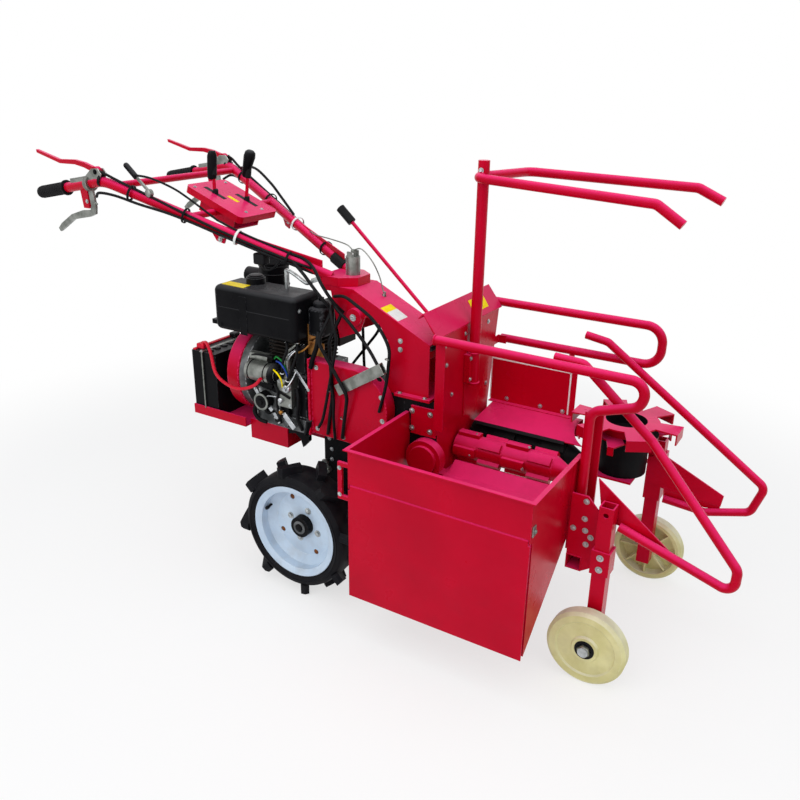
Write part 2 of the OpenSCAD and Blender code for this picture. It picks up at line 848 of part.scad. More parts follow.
module rail_right() {
    post_x0 = bin_front + 22;
    color(red) bent_tube([[wall_x + 2, rail_right_y, rail_z], [wheelbase + 47, rail_right_y, rail_z - 6],
        [wheelbase + 31, rail_right_y, rail_z - 66], [post_x0, rail_right_y, rail_z - rail_drop],
        [post_x0, rail_right_y, 309]], rail_r, 32);
}

module rail_left() {
    post_left = wheelbase - 276;
    front = wheelbase - 31;
    color(red) union() {
        bent_tube([[wall_x - 28, rail_left_y, rail_z + 8], [front, rail_left_y, rail_z + 8],
            [front, rail_left_y, rail_z - rail_drop], [wall_x + 2, rail_left_y, rail_z - rail_drop]],
            rail_r, 46);
        rod([post_left, rail_left_y, rail_z - rail_drop], [post_left, rail_left_y, sill_top_left + sheet], 8);
    }
}

loop_r = rail_r - 1;

module divider_right() {
    y = rail_right_y + rail_r + loop_r + seat_gap;
    tip_y = leg_right_y - 6;
    tip_x = front_reach - loop_r;
    plate_y = leg_right_y + sleeve / 2;
    low_y = plate_y - loop_r + 2;
    leg_front = wheelbase + leg_side / 2;
    plate_end = wheelbase + 145;
    color(red) union() {
        bent_tube([[wheelbase - 187, y, rail_z + 7], [wheelbase - 115, y, rail_z + 3],
            [wheelbase + 63, y, rail_z - 150], [tip_x, tip_y, 400], [tip_x, tip_y, 340],
            [leg_front + 8, low_y, 414]], loop_r, 24);
        plate_xz([[wheelbase - 38, leg_top + 50], [plate_end, 381], [plate_end, 366],
                  [leg_front + 3, 412], [leg_front - 4, 412], [leg_front - 4, sleeve_low + 10],
                  [wheelbase - 22, sleeve_low + 10], [wheelbase - 22, leg_top - 40]], plate_y, 4);
    }
}

module divider_left() {
    lean = 2.7;
    y = rail_left_y - rail_r - loop_r - lean;
    tip_y = leg_left_y - 12;
    plate_t = 4;
    plate_y = leg_left_y - sleeve / 2 - plate_t;
    rear = wheelbase - 22;
    fold = [wheelbase + 30, 334];
    fold_end = wheelbase + 186;
    fold_angle = 14;
    color(red) union() {
        bent_tube([[wheelbase - 232, y, rail_z - 39], [wheelbase - 169, y, rail_z - 49],
            [front_reach - 25, tip_y, 402], [front_reach - 50, tip_y, 322],
            [wheelbase + 148, plate_y, 296], [wheelbase + 35, plate_y, 304]], loop_r, 24);
        plate_xz([[rear, 418], [rear, 344], fold, [fold_end, fold[1] - 10], [fold_end + 4, 356],
                  [wheelbase + 19, 436]], plate_y, plate_t);
        translate([0, plate_y + 0.5, fold[1]]) rotate([fold_angle, 0, 0])
            plate_xz([[fold[0] + 2, 5], [fold_end - 2, -5], [fold_end - 2, -24], [wheelbase + 100, -34], [fold[0] + 2, -44]],
                     0, plate_t);
    }
}

module header_frame() {
    right_y = [-58, -22];
    stub = [bin_front + 10, bin_front + 50];
    stub_z = [269, 309];
    stub_end = leg_right_y + 2;
    beam_z = [335, 375];
    beam_front = wall_x + 40;
    sill_left = sill_left_y + sill;
    sleeve_rear = wheelbase - sleeve / 2;
    plate_top = leg_top + 5;
    base = [star_x - 72, star_x + 50];
    base_t = 6;
    color(red) difference() {
        union() {
            block([wall_x, right_y[0], beam_z[0]], [beam_front, sill_left, beam_z[1]]);
            block([wall_x, right_y[0], sill_top_right - 40], [stub[1], right_y[1], sill_top_right]);
            block([stub[0], stub_end, stub_z[0]], [stub[1], right_y[1], stub_z[1]]);
            block([stub[0], right_y[0], stub_z[0]], [stub[1], right_y[1], sill_top_right - 35]);
            block([bin_front, -110, stub_z[1]], [bin_front + 5, right_y[0] + 1, bin_top - sheet - seat_gap]);
            block([bin_front, right_y[0] - 5, stub_z[1]], [bin_front + 45, right_y[0] + 1, rail_z - 116]);
            block([wall_x, sill_left_y, beam_z[0]], [beam_front, sill_left, sill_top_left]);
            block([wall_x, sill_left_y, sill_top_left - sill], [wheelbase, sill_left, sill_top_left]);
            block([base[0], lane_y + 40, drum_low - base_t], [base[1], sill_left, drum_low]);
            block([base[0], sill_left_y, drum_low - base_t], [base[1], sill_left_y + base_t, drum_low + 40]);
            for (s = [[leg_right_y, sleeve_top], [leg_left_y, sill_top_left - sill]])
                block([wheelbase - sleeve / 2, s[0] - sleeve / 2, sleeve_low],
                      [wheelbase + sleeve / 2, s[0] + sleeve / 2, s[1]]);
            plate_xz([[stub[0], stub_z[0]], [stub[1], stub_z[0]], [sleeve_rear + 1, sleeve_low],
                      [sleeve_rear + 1, sleeve_top], [sleeve_rear - 2, plate_top - 30],
                      [stub[1], plate_top], [stub[0], plate_top]], stub_end + 2, 6);
        }
        for (y = [leg_right_y, leg_left_y])
            translate([wheelbase, y, 0]) leg_bore(leg_side / 2 + seat_gap);
        block([stub[0] + sheet, stub_end - 1, stub_z[0] + sheet], [stub[1] - sheet, -62, stub_z[1] - sheet]);
    }
}

module leg_bore(half) {
    block([-half, -half, sleeve_low - 1], [half, half, sleeve_top + 200]);
}

module guide_plates() {
    x0 = roll_rear + 15;
    x1 = roll_rear + roll_len - 40;
    y_in = roll_right_y - roll_r - 6;
    cover_near = lane_y + 9;
    cover_end = roll_rear + roll_len;
    cover_drop = 16;
    wheel_gap = 8;
    color(red) union() {
        plate_yz([[y_in, sill_top_right + 20], [-24, sill_top_right + sheet], [-58, sill_top_right + sheet],
                  [-82, 373], [-82, 370], [-58, sill_top_right], [-22, sill_top_right],
                  [y_in + 3, sill_top_right + 18]], x0, x1 - x0);
        difference() {
            plate_yz([[sill_left_y + sill, sill_top_left], [sill_left_y + sill, sill_top_left + sheet],
                      [shield_y + 6, sill_top_left + sheet], [shield_y + 2, cover_z + sheet],
                      [shield_y - 20, cover_z + sheet], [cover_near, cover_z + sheet - cover_drop],
                      [cover_near, cover_z - cover_drop], [shield_y - 20, cover_z],
                      [shield_y - 1, cover_z], [shield_y + 3, sill_top_left]], x0, cover_end - x0);
            translate([star_x, star_y, sill_top_left + 10])
                cylinder(r = star_r - 18 + wheel_gap, h = cover_z);
        }
    }
}

// Panel on the far side of the throat, with a strip beside its front edge
module side_shield() {
    gap = 8;
    foot = 18;
    front = wheelbase - 253;
    strip = [front + 5, front + 21];
    panel_h = 130;
    z0 = cover_z + sheet;
    color(red) union() {
        block([wall_x + gap, shield_y - sheet, z0], [front, shield_y, z0 + panel_h]);
        block([strip[0], shield_y - sheet, z0], [strip[1], shield_y, z0 + panel_h + 4]);
        block([wall_x + gap, shield_y - foot, z0], [strip[1], shield_y, z0 + sheet]);
    }
}

module drive_guard() {
    middle = [bin_rear + 62, 432];
    r = 54;
    t = 37;
    color(red) union() {
        rod([middle[0], case_right - t + 8, middle[1]], [middle[0], case_right, middle[1]], r);
        rod([middle[0], case_right - t, middle[1]], [middle[0], case_right - 1, middle[1]], r - 14);
    }
}

// A snapping roll with its bars staggered from one ring to the next
module snap_roll(y, turn) {
    core_r = roll_r - 10;
    nose = 46;
    rings = 4;
    bars = 4;
    bar_w = 24;
    pitch = (roll_len - nose) / rings;
    bar_gap = 8;
    translate([roll_rear, y, roll_z]) rotate([turn, 0, 0]) union() {
        rod([-45, 0, 0], [1, 0, 0], roll_shaft_r);
        rod([0, 0, 0], [roll_len - nose, 0, 0], core_r);
        translate([roll_len - nose - 1, 0, 0]) rotate([0, 90, 0]) cylinder(r1 = core_r, r2 = 10, h = nose);
        intersection() {
            rod([0, 0, 0], [roll_len, 0, 0], roll_r);
            for (ring = [0 : rings - 1], bar = [0 : bars - 1])
                translate([ring * pitch + bar_gap / 2, 0, 0])
                    rotate([bar * 360 / bars + (ring % 2) * 180 / bars, 0, 0])
                        translate([0, -bar_w / 2, core_r - 6]) cube([pitch - bar_gap, bar_w, 20]);
        }
    }
}

module snap_roll_right() {
    color(red) snap_roll(roll_right_y, 0);
}

module snap_roll_left() {
    color(black) snap_roll(roll_left_y, 0);
}

module gathering_wheel() {
    arms = 6;
    arm_in = 60;
    arm_root = 22;
    arm_tip = 33;
    plate_t = 4;
    plate_z = drum_top + 42;
    plate_r = 88;
    hole_r = 55;
    cup_t = 6;
    cup_z = drum_top + 8;
    shaft_r = 14;
    tip_drop = 26;
    finger_in = 80;
    finger_out = star_r - 18;
    finger_root = 26;
    finger_tip = 8;
    finger_drop = 20;
    color(red) translate([star_x, star_y, 0]) union() {
        difference() {
            union() {
                translate([0, 0, plate_z]) cylinder(r = plate_r, h = plate_t);
                for (i = [0 : arms - 1]) translate([0, 0, plate_z]) rotate([0, 0, i * 360 / arms]) {
                    linear_extrude(plate_t) polygon([[arm_in, -arm_root], [star_r, -arm_tip],
                                                     [star_r, arm_tip], [arm_in, arm_root]]);
                    block([star_r - plate_t, -arm_tip, -tip_drop], [star_r, arm_tip, plate_t]);
                }
                translate([0, 0, cup_z]) cylinder(r = hole_r + cup_t, h = plate_z - cup_z + 1);
            }
            translate([0, 0, cup_z + plate_t]) cylinder(r = hole_r, h = plate_z - cup_z + 1);
        }
        translate([0, 0, cup_z]) cylinder(r = plate_r, h = plate_t);
        for (i = [0 : arms - 1]) translate([0, 0, cup_z]) rotate([0, 0, (i + 0.5) * 360 / arms]) {
            linear_extrude(plate_t) polygon([[finger_in, -finger_root], [finger_out, -finger_tip],
                                             [finger_out, finger_tip], [finger_in, finger_root]]);
            block([finger_out - plate_t, -finger_tip, -finger_drop], [finger_out, finger_tip, plate_t]);
        }
        translate([0, 0, drum_top - 30]) cylinder(r = shaft_r, h = cup_z - drum_top + 31);
    }
}

module gathering_drum() {
    shaft_r = 14;
    color(black) difference() {
        translate([star_x, star_y, drum_low]) cylinder(r = drum_r, h = drum_top - drum_low);
        translate([star_x, star_y, drum_top - 34]) cylinder(r = shaft_r + run_gap, h = 40);
    }
}

// Ear bin: the door hangs by its rolled upper edge from a pin between the end walls
hinge_r = 4.5;
hinge_pin_r = 2.5;
hinge_gap = 2;
hinge_y = -bin_reach + hinge_r;
hinge_z = bin_seam - hinge_gap - hinge_r;
hinge_end = 5;

module ear_bin() {
    inset = 14;
    lug_low = hinge_z - 6;
    floor_t = 4;
    front_low = bin_bottom + 8;
    door_y = -bin_reach + inset;
    side_outline = [[-bin_reach, lug_low], [-bin_reach, bin_top], [bin_inner, bin_top],
                    [bin_inner, floor_high], [door_y, front_low], [door_y, lug_low]];
    lip = bin_lip;
    color(red) union() {
        for (x = [bin_rear, bin_front - sheet]) plate_yz(side_outline, x, sheet);
        plate_yz([[bin_inner, floor_high], [door_y, front_low], [door_y, front_low - floor_t],
                  [bin_inner, floor_high - floor_t]], bin_rear, bin_len);
        block([bin_rear, -bin_reach, bin_seam], [bin_front, -bin_reach + sheet, bin_top]);
        block([bin_rear - lip, -bin_reach - lip, bin_top - sheet],
              [bin_front + lip, -bin_reach + sheet, bin_top]);
        for (x = [bin_rear - lip, bin_front - sheet])
            block([x, -bin_reach - lip, bin_top - sheet], [x + lip + sheet, bin_inner, bin_top]);
        block([bin_rear - 14, bin_inner, 420], [bin_rear + sheet, case_right, bin_top - 20]);
        rod([bin_rear + 1, hinge_y, hinge_z], [bin_front - 1, hinge_y, hinge_z], hinge_pin_r);
    }
}

module bin_door() {
    x0 = bin_rear + hinge_end;
    x1 = bin_front - hinge_end;
    notch = hinge_z - 10;
    color(red) difference() {
        union() {
            block([bin_rear, -bin_reach, bin_bottom], [bin_front, -bin_reach + sheet, notch]);
            block([x0, -bin_reach, notch - 1], [x1, -bin_reach + sheet, hinge_z]);
            rod([x0, hinge_y, hinge_z], [x1, hinge_y, hinge_z], hinge_r);
        }
        rod([bin_rear, hinge_y, hinge_z], [bin_front, hinge_y, hinge_z], hinge_pin_r + run_gap);
    }
}

// Gauge legs and wheels
module gauge_legs() {
    hole_r = 6.5;
    low = gauge_d / 2 - 22;
    color(red) for (side = [-1, 1]) {
        y = side < 0 ? leg_right_y : leg_left_y;
        translate([wheelbase, y, 0]) union() {
            difference() {
                block([-leg_side / 2, -leg_side / 2, low], [leg_side / 2, leg_side / 2, leg_top]);
                block([-leg_side / 2 + 4, -leg_side / 2 + 4, gauge_d / 2 + 25],
                      [leg_side / 2 - 4, leg_side / 2 - 4, leg_top + 1]);
                if (side < 0) translate([0, 0, leg_top - 20]) rotate([90, 0, 0])
                    cylinder(r = hole_r, h = 2 * leg_side, center = true);
            }
            rod([0, side * (leg_side / 2 - 1), gauge_d / 2],
                [0, side * (gauge_y_off + gauge_w / 2 + nut_h + 1), gauge_d / 2], 8);
            rod([0, side * (gauge_y_off + gauge_w / 2 + 1), gauge_d / 2],
                [0, side * (gauge_y_off + gauge_w / 2 + nut_h + 1), gauge_d / 2], 13);
        }
    }
}

module gauge_wheel(side) {
    y = side < 0 ? leg_right_y : leg_left_y;
    r = gauge_d / 2;
    half = gauge_w / 2;
    bore_r = 8 + run_gap;
    web_in = 6;
    face = half - 6;
    ribs = 8;
    rib_t = 5;
    color([0.93, 0.88, 0.62]) translate([wheelbase, y + side * gauge_y_off, r])
        rotate([-90 * side, 0, 0]) union() {
            rotate_extrude() polygon([
                [bore_r, -half], [28, -half], [30, web_in], [r - 22, web_in], [r - 18, -half + 2],
                [r - 8, -half + 2], [r, -half + 9], [r, half - 9], [r - 8, half - 2], [r - 24, half - 2],
                [r - 28, face], [36, face], [32, half], [bore_r, half]]);
            for (i = [0 : ribs - 1]) rotate([0, 0, i * 360 / ribs])
                translate([27, -rib_t / 2, -half + 6]) cube([r - 47, rib_t, half + web_in - 5]);
        }
}

placed() tyre(-1);  // tyre_right
placed() tyre(1);  // tyre_left
placed() rim(-1);  // rim_right
placed() rim(1);  // rim_left
placed() hub(-1);  // hub_right
placed() hub(1);  // hub_left
placed() gearbox();
placed() clutch_cover();
placed() engine_block();
placed() fan_housing();
placed() recoil_cover();
placed() fuel_tank();
placed() air_filter();
placed() muffler();
placed() starter_motor();
placed() fuel_system();
placed() tank_bracket();
placed() engine_tray();
placed() battery();
placed() battery_lead();
placed() arch();
placed() swivel_post();
placed() side_bar();
placed() header_lever();
placed() lever_grip();
placed() handlebar();
placed() grips();
placed() control_levers();
placed() brake_levers();
placed() shift_panel();
placed() handlebar_cables();
placed() chassis_cables();
placed() header_gearbox();
placed() coupling_plate();
placed() rear_wall();
placed() hood();
placed() mast();
placed() rail_right();
placed() rail_left();
placed() divider_right();
placed() divider_left();
placed() header_frame();
placed() guide_plates();
placed() side_shield();
placed() drive_guard();
placed() snap_roll_right();
placed() snap_roll_left();
placed() gathering_wheel();
placed() gathering_drum();
placed() ear_bin();
placed() bin_door();
placed() gauge_legs();
placed() gauge_wheel(-1);  // gauge_wheel_right
placed() gauge_wheel(1);  // gauge_wheel_left
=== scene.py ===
"""Looks of a walk-behind corn harvester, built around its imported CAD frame."""

import json
import logging
import math
from dataclasses import dataclass, field
from enum import Enum
from typing import Sequence

import bmesh
import bpy
from mathutils import Matrix, Vector


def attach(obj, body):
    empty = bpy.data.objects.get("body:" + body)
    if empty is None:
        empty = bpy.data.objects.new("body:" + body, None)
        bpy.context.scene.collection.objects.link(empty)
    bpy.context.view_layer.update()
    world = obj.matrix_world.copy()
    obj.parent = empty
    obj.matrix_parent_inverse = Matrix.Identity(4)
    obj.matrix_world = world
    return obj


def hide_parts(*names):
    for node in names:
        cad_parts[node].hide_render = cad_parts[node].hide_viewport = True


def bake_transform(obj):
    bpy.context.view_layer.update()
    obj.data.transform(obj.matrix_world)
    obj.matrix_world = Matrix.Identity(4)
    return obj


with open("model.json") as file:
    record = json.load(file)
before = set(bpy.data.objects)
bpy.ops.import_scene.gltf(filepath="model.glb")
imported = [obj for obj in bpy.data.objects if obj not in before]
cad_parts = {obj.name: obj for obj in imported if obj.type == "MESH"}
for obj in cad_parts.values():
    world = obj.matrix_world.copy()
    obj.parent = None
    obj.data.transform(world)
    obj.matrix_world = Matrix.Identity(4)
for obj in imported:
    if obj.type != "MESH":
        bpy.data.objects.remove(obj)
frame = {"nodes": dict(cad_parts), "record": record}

log = logging.getLogger("corn_harvester")
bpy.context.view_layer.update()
MM = 0.001
# The drive axle's middle on the ground, from which the machine's sizes are measured
AXLE_ORIGIN = Vector((110.5, 16.5, 0.0))

Point = Sequence[float]
Colour = tuple[float, float, float]
# The ways that heads and axes face
RIGHT, LEFT, FRONT, REAR, UP, DOWN = (0, -1, 0), (0, 1, 0), (1, 0, 0), (-1, 0, 0), (0, 0, 1), (0, 0, -1)
# What a mesh calls the share of wear on its edges
EDGE = "worn_edge"
# Edges sharper than this many degrees stay sharp in the shading
SHARP_ANGLE = 50.0
# How many paint chips and patches of dust there are to a metre
CHIP_SCALE, PATCH_SCALE = 160.0, 23.0
# How much rougher dust makes a surface, and the largest share of the painted sheen, a highlight painted on what faces
# up in place of the sky's reflection
DUST_ROUGHNESS, PAINTED_SHEEN_SHARE = 0.3, 0.85
# The heights in metres between which the dust from the ground fades
DUST_HEIGHTS = (0.05, 0.55)


def at(x: float, y: float, z: float) -> Vector:
    """Gives a place measured in mm from under the drive axle's middle as a point of the part's frame in m."""
    return (Vector((x, y, z)) - AXLE_ORIGIN) * MM


class Body(Enum):
    """The CAD bodies that added pieces ride on."""

    CHASSIS = "chassis"
    HANDLEBAR = "handlebar"
    DRIVE_RIGHT = "drive_wheel_right"
    DRIVE_LEFT = "drive_wheel_left"
    GAUGE_RIGHT = "gauge_wheel_right"
    GAUGE_LEFT = "gauge_wheel_left"
    ROLL_RIGHT = "snap_roll_right"
    ROLL_LEFT = "snap_roll_left"


class Value:
    """A node's output that takes part in Python sums, each of which adds a Math node."""

    def __init__(self, nodes: "Nodes", socket: bpy.types.NodeSocket | None) -> None:
        """Wraps one output socket of a node tree."""
        self.nodes = nodes
        self.socket = socket

    def _sum(self, operation: str, first: object, second: object) -> "Value":
        """Adds a Math node.

        Args:
            operation: The Math node's operation.
            first: The first operand, a value or a number.
            second: The second operand, a value or a number.

        Returns:
            The result as a new value.
        """
        return self.nodes.node("ShaderNodeMath", {"operation": operation}, {0: first, 1: second})

    def __add__(self, other: object) -> "Value":
        """Adds."""
        return self._sum("ADD", self, other)

    def __radd__(self, other: object) -> "Value":
        """Adds, reflected."""
        return self._sum("ADD", other, self)

    def __sub__(self, other: object) -> "Value":
        """Subtracts."""
        return self._sum("SUBTRACT", self, other)

    def __rsub__(self, other: object) -> "Value":
        """Subtracts, reflected."""
        return self._sum("SUBTRACT", other, self)

    def __mul__(self, other: object) -> "Value":
        """Multiplies."""
        return self._sum("MULTIPLY", self, other)

    def __rmul__(self, other: object) -> "Value":
        """Multiplies, reflected."""
        return self._sum("MULTIPLY", other, self)

    def most(self, other: object) -> "Value":
        """Gives the larger of two values."""
        return self._sum("MAXIMUM", self, other)

    def ramp(self, low: float, high: float) -> "Value":
        """Maps low to 0 and high to 1 along a smooth step.

        Args:
            low: The value that becomes 0.
            high: The value that becomes 1.

        Returns:
            The mapped value.
        """
        settings = {"interpolation_type": "SMOOTHSTEP"}
        return self.nodes.node(
            "ShaderNodeMapRange", settings, {"Value": self, "From Min": low, "From Max": high}
        )


class Nodes:
    """A node tree under construction, of a material, a world or a modifier."""

    def __init__(self, tree: bpy.types.NodeTree) -> None:
        """Empties a tree to start with."""
        self.tree = tree
        tree.nodes.clear()

    def node(
        self, kind: str, settings: dict[str, object] | None = None,
        sockets: dict[object, object] | None = None, out: object | None = 0,
    ) -> Value:
        """Adds a node.

        Args:
            kind: The node's type.
            settings: The node's own settings, set before its sockets.
            sockets: Values, links or constants by input name or index.
            out: The output that is returned, by name or index, or None for a node that has none.

        Returns:
            That output as a value.
        """
        made = self.tree.nodes.new(kind)
        for key, value in (settings or {}).items():
            setattr(made, key, value)
        for key, value in (sockets or {}).items():
            self.feed(made.inputs[key], value)
        return Value(self, None if out is None else made.outputs[out])

    def feed(self, socket: bpy.types.NodeSocket, value: object) -> None:
        """Links a value to a socket, or sets a constant on it.

        Args:
            socket: The input socket.
            value: A value of the same tree, or a constant.
        """
        if isinstance(value, Value):
            self.tree.links.new(value.socket, socket)
        elif isinstance(value, tuple) and len(value) == 3 and socket.type == "RGBA":
            socket.default_value = (*value, 1.0)
        else:
            socket.default_value = value


class Shader(Nodes):
    """A material under construction, with its Principled shader."""

    def __init__(self, name: str) -> None:
        """Starts a material.

        Args:
            name: The material's name.
        """
        self.material = bpy.data.materials.new(name)
        self.material.use_nodes = True
        super().__init__(self.material.node_tree)
        self.output = self.tree.nodes.new("ShaderNodeOutputMaterial")
        self.surface = self.tree.nodes.new("ShaderNodeBsdfPrincipled")
        self.show(Value(self, self.surface.outputs[0]))

    def show(self, shader: Value) -> None:
        """Makes a shader the material's surface."""
        self.feed(self.output.inputs["Surface"], shader)

    def set(self, **sockets: object) -> None:
        """Feeds the Principled shader, with underscores in the names standing for spaces."""
        for key, value in sockets.items():
            self.feed(self.surface.inputs[key.replace("_", " ")], value)

    def place(self) -> Value:
        """Gives the piece's own coordinates, in metres."""
        return self.node("ShaderNodeTexCoord", out="Object")

    def noise(self, scale: float, detail: float) -> Value:
        """Adds cloudy noise of so many clouds to a metre and so many finer octaves, about 0.5 on average."""
        sockets = {"Vector": self.place(), "Scale": scale, "Detail": detail}
        return self.node("ShaderNodeTexNoise", None, sockets)

    def mix(self, share: object, first: object, second: object) -> Value:
        """Mixes two colours.

        Args:
            share: How much of the second colour there is, 0 to 1.
            first: The colour at 0.
            second: The colour at 1.

        Returns:
            The mixed colour.
        """
        settings = {"data_type": "RGBA"}
        return self.node("ShaderNodeMix", settings, {0: share, 6: first, 7: second}, out=2)

    def bump(self, height: Value, depth: float) -> Value:
        """Turns a height from 0 to 1 into a bumped normal of a real depth in metres."""
        return self.node("ShaderNodeBump", None, {"Height": height, "Distance": depth, "Strength": 1.0})

    def attribute(self, name: str) -> Value:
        """Reads a number that the piece's mesh holds, 0 where it holds none."""
        return self.node("ShaderNodeAttribute", {"attribute_name": name}, out="Fac")


@dataclass(frozen=True)
class Finish:
    """A surface finish: colours, gloss, grain, dust, wear and a painted highlight on what faces up."""

    name: str
    slot: str
    base: Colour
    tone: Colour
    roughness: float = 0.4
    roughness_spread: float = 0.14
    metallic: float = 0.0
    specular: float = 0.3
    gloss_tint: Colour = (1.0, 1.0, 1.0)
    mottle: float = 9.0
    grain: float = 700.0
    grain_depth: float = 0.00006
    worn: Colour | None = None
    dust: Colour | None = None
    dust_share: float = 0.0
    # The paler colour painted on what faces up, a painted highlight standing in for the sky's reflection
    painted_sheen: Colour | None = None

    def material(self) -> bpy.types.Material:
        """Gives the finish's material, made once."""
        return bpy.data.materials.get(self.name) or self.make()

    def make(self) -> bpy.types.Material:
        """Builds the material's nodes.

        Returns:
            The material.
        """
        shader = Shader(self.name)
        cloud = shader.noise(self.mottle, 4.0).ramp(0.3, 0.7)
        colour = shader.mix(cloud, self.base, self.tone)
        gloss = self.roughness + (cloud - 0.5) * self.roughness_spread
        # Painted highlight: what faces up pales towards this colour, standing in for the sky's reflection on the
        # gloss
        if self.painted_sheen:
            colour = shader.mix(self.facing_up(shader).ramp(0.1, 1.0) * PAINTED_SHEEN_SHARE, colour, self.painted_sheen)
        if self.dust:
            dusting = self.dusting(shader)
            colour = shader.mix(dusting, colour, self.dust)
            gloss = gloss + dusting * DUST_ROUGHNESS
        if self.worn:
            chips = shader.noise(CHIP_SCALE, 4.0).ramp(0.42, 0.62)
            colour = shader.mix(shader.attribute(EDGE) * chips, colour, self.worn)
        shader.set(
            Base_Color=colour, Roughness=gloss, Metallic=self.metallic, Specular_IOR_Level=self.specular,
            Specular_Tint=self.gloss_tint, Normal=self.relief(shader),
        )
        return shader.material

    def facing_up(self, shader: Shader) -> Value:
        """Gives how far a surface faces up, -1 to 1."""
        normal = shader.node("ShaderNodeNewGeometry", out="Normal")
        return shader.node("ShaderNodeSeparateXYZ", None, {0: normal}, out="Z")

    def dusting(self, shader: Shader) -> Value:
        """Adds the share of dust, most of it on what faces up and near the ground.

        Args:
            shader: The material under construction.

        Returns:
            The share, 0 to 1.
        """
        height = shader.node("ShaderNodeSeparateXYZ", None, {0: shader.place()}, out="Z")
        patches = shader.noise(PATCH_SCALE, 5.0).ramp(0.4, 0.75)
        low = 1.0 - height.ramp(*DUST_HEIGHTS)
        return (self.facing_up(shader).ramp(-0.4, 1.0) * 0.5 + low * 0.4 + 0.1) * patches * self.dust_share

    def relief(self, shader: Shader) -> Value:
        """Gives the fine grain as a normal."""
        return shader.bump(shader.noise(self.grain, 2.0), self.grain_depth)


# The pale pink that this red takes on what faces up is a painted highlight of the sky's reflection, not the paint's
# own colour
RED = Finish(
    "red_enamel", "red_paint", (0.54, 0.0003, 0.014), (0.45, 0.0, 0.010), roughness=0.30, specular=0.20,
    gloss_tint=(1.0, 0.25, 0.8), mottle=5.0, grain=420.0, grain_depth=0.00010, worn=(0.70, 0.02, 0.09),
    dust=(0.26, 0.012, 0.02), dust_share=0.2, painted_sheen=(0.86, 0.026, 0.17),
)
WHITE = Finish(
    "rim_enamel", "white_paint", (0.58, 0.70, 0.83), (0.48, 0.60, 0.74), roughness=0.32, specular=0.35,
    mottle=11.0, grain=500.0, worn=(0.62, 0.70, 0.78), dust=(0.34, 0.32, 0.29), dust_share=0.35,
)
BLACK = Finish(
    "black_enamel", "black_paint", (0.003, 0.003, 0.004), (0.007, 0.007, 0.008), roughness=0.46, specular=0.06,
    grain=300.0, grain_depth=0.0003, worn=(0.03, 0.03, 0.033), dust=(0.03, 0.027, 0.024), dust_share=0.3,
)
TYRE = Finish(
    "lug_rubber", "tyre_rubber", (0.004, 0.004, 0.006), (0.009, 0.009, 0.011), roughness=0.6, specular=0.08,
    mottle=30.0, grain=600.0, grain_depth=0.0002, worn=(0.022, 0.022, 0.026), dust=(0.035, 0.033, 0.031),
    dust_share=0.35,
)
ALLOY = Finish(
    "alloy_casting", "cast_alloy", (0.17, 0.175, 0.18), (0.06, 0.065, 0.068), roughness=0.46, metallic=0.8,
    mottle=26.0, grain=420.0, grain_depth=0.0004, worn=(0.42, 0.43, 0.44), dust=(0.03, 0.03, 0.027),
    dust_share=0.7,
)
ZINC = Finish(
    "dull_zinc", "zinc_plate", (0.29, 0.30, 0.28), (0.15, 0.16, 0.145), roughness=0.36, metallic=0.85,
    mottle=40.0, grain=240.0, worn=(0.52, 0.53, 0.52), dust=(0.10, 0.10, 0.09), dust_share=0.4,
)
BOLT = Finish(
    "bright_zinc", "zinc_plate", (0.52, 0.55, 0.56), (0.34, 0.36, 0.36), roughness=0.32, metallic=0.85,
    mottle=70.0, grain=240.0, dust=(0.14, 0.13, 0.12), dust_share=0.4,
)
STEEL = Finish(
    "bright_steel", "zinc_plate", (0.60, 0.62, 0.65), (0.36, 0.38, 0.40), roughness=0.24, metallic=0.95,
    mottle=60.0, grain=300.0,
)
GOLD = Finish(
    "gold_zinc", "yellow_zinc", (0.50, 0.22, 0.035), (0.26, 0.11, 0.03), roughness=0.38, metallic=0.7,
    mottle=30.0, grain=200.0, dust=(0.05, 0.04, 0.03), dust_share=0.5,
)
# The grey that this black takes on what faces up is a painted sheen, a highlight standing in for the sky's reflection
PLASTIC = Finish(
    "moulded_black", "black_plastic", (0.003, 0.003, 0.004), (0.006, 0.006, 0.007), roughness=0.32,
    specular=0.05, mottle=12.0, grain=900.0, grain_depth=0.00012, worn=(0.05, 0.05, 0.055),
    dust=(0.02, 0.02, 0.02), dust_share=0.3, painted_sheen=(0.055, 0.056, 0.06),
)
# Dark sooty steel of its own slot; the same finish laid on the cylinder's fins is painted shade under the tank
SOOT_AND_SHADE = Finish(
    "soot_and_painted_shade", "sooty_steel", (0.012, 0.011, 0.011), (0.03, 0.022, 0.018), roughness=0.65, specular=0.1,
    mottle=34.0, grain=350.0, grain_depth=0.0003,
)
RUST = Finish(
    "rusty_steel", "sooty_steel", (0.22, 0.075, 0.025), (0.09, 0.035, 0.018), roughness=0.8, specular=0.1,
    mottle=60.0, grain=500.0, grain_depth=0.0004,
)
RUBBER = Finish(
    "cable_black", "black_rubber", (0.003, 0.003, 0.004), (0.008, 0.008, 0.009), roughness=0.46,
    specular=0.10, mottle=40.0, grain=800.0,
)
RED_RUBBER = Finish(
    "lead_red", "red_rubber", (0.66, 0.004, 0.03), (0.55, 0.002, 0.022), roughness=0.42, specular=0.2,
    mottle=30.0,
)
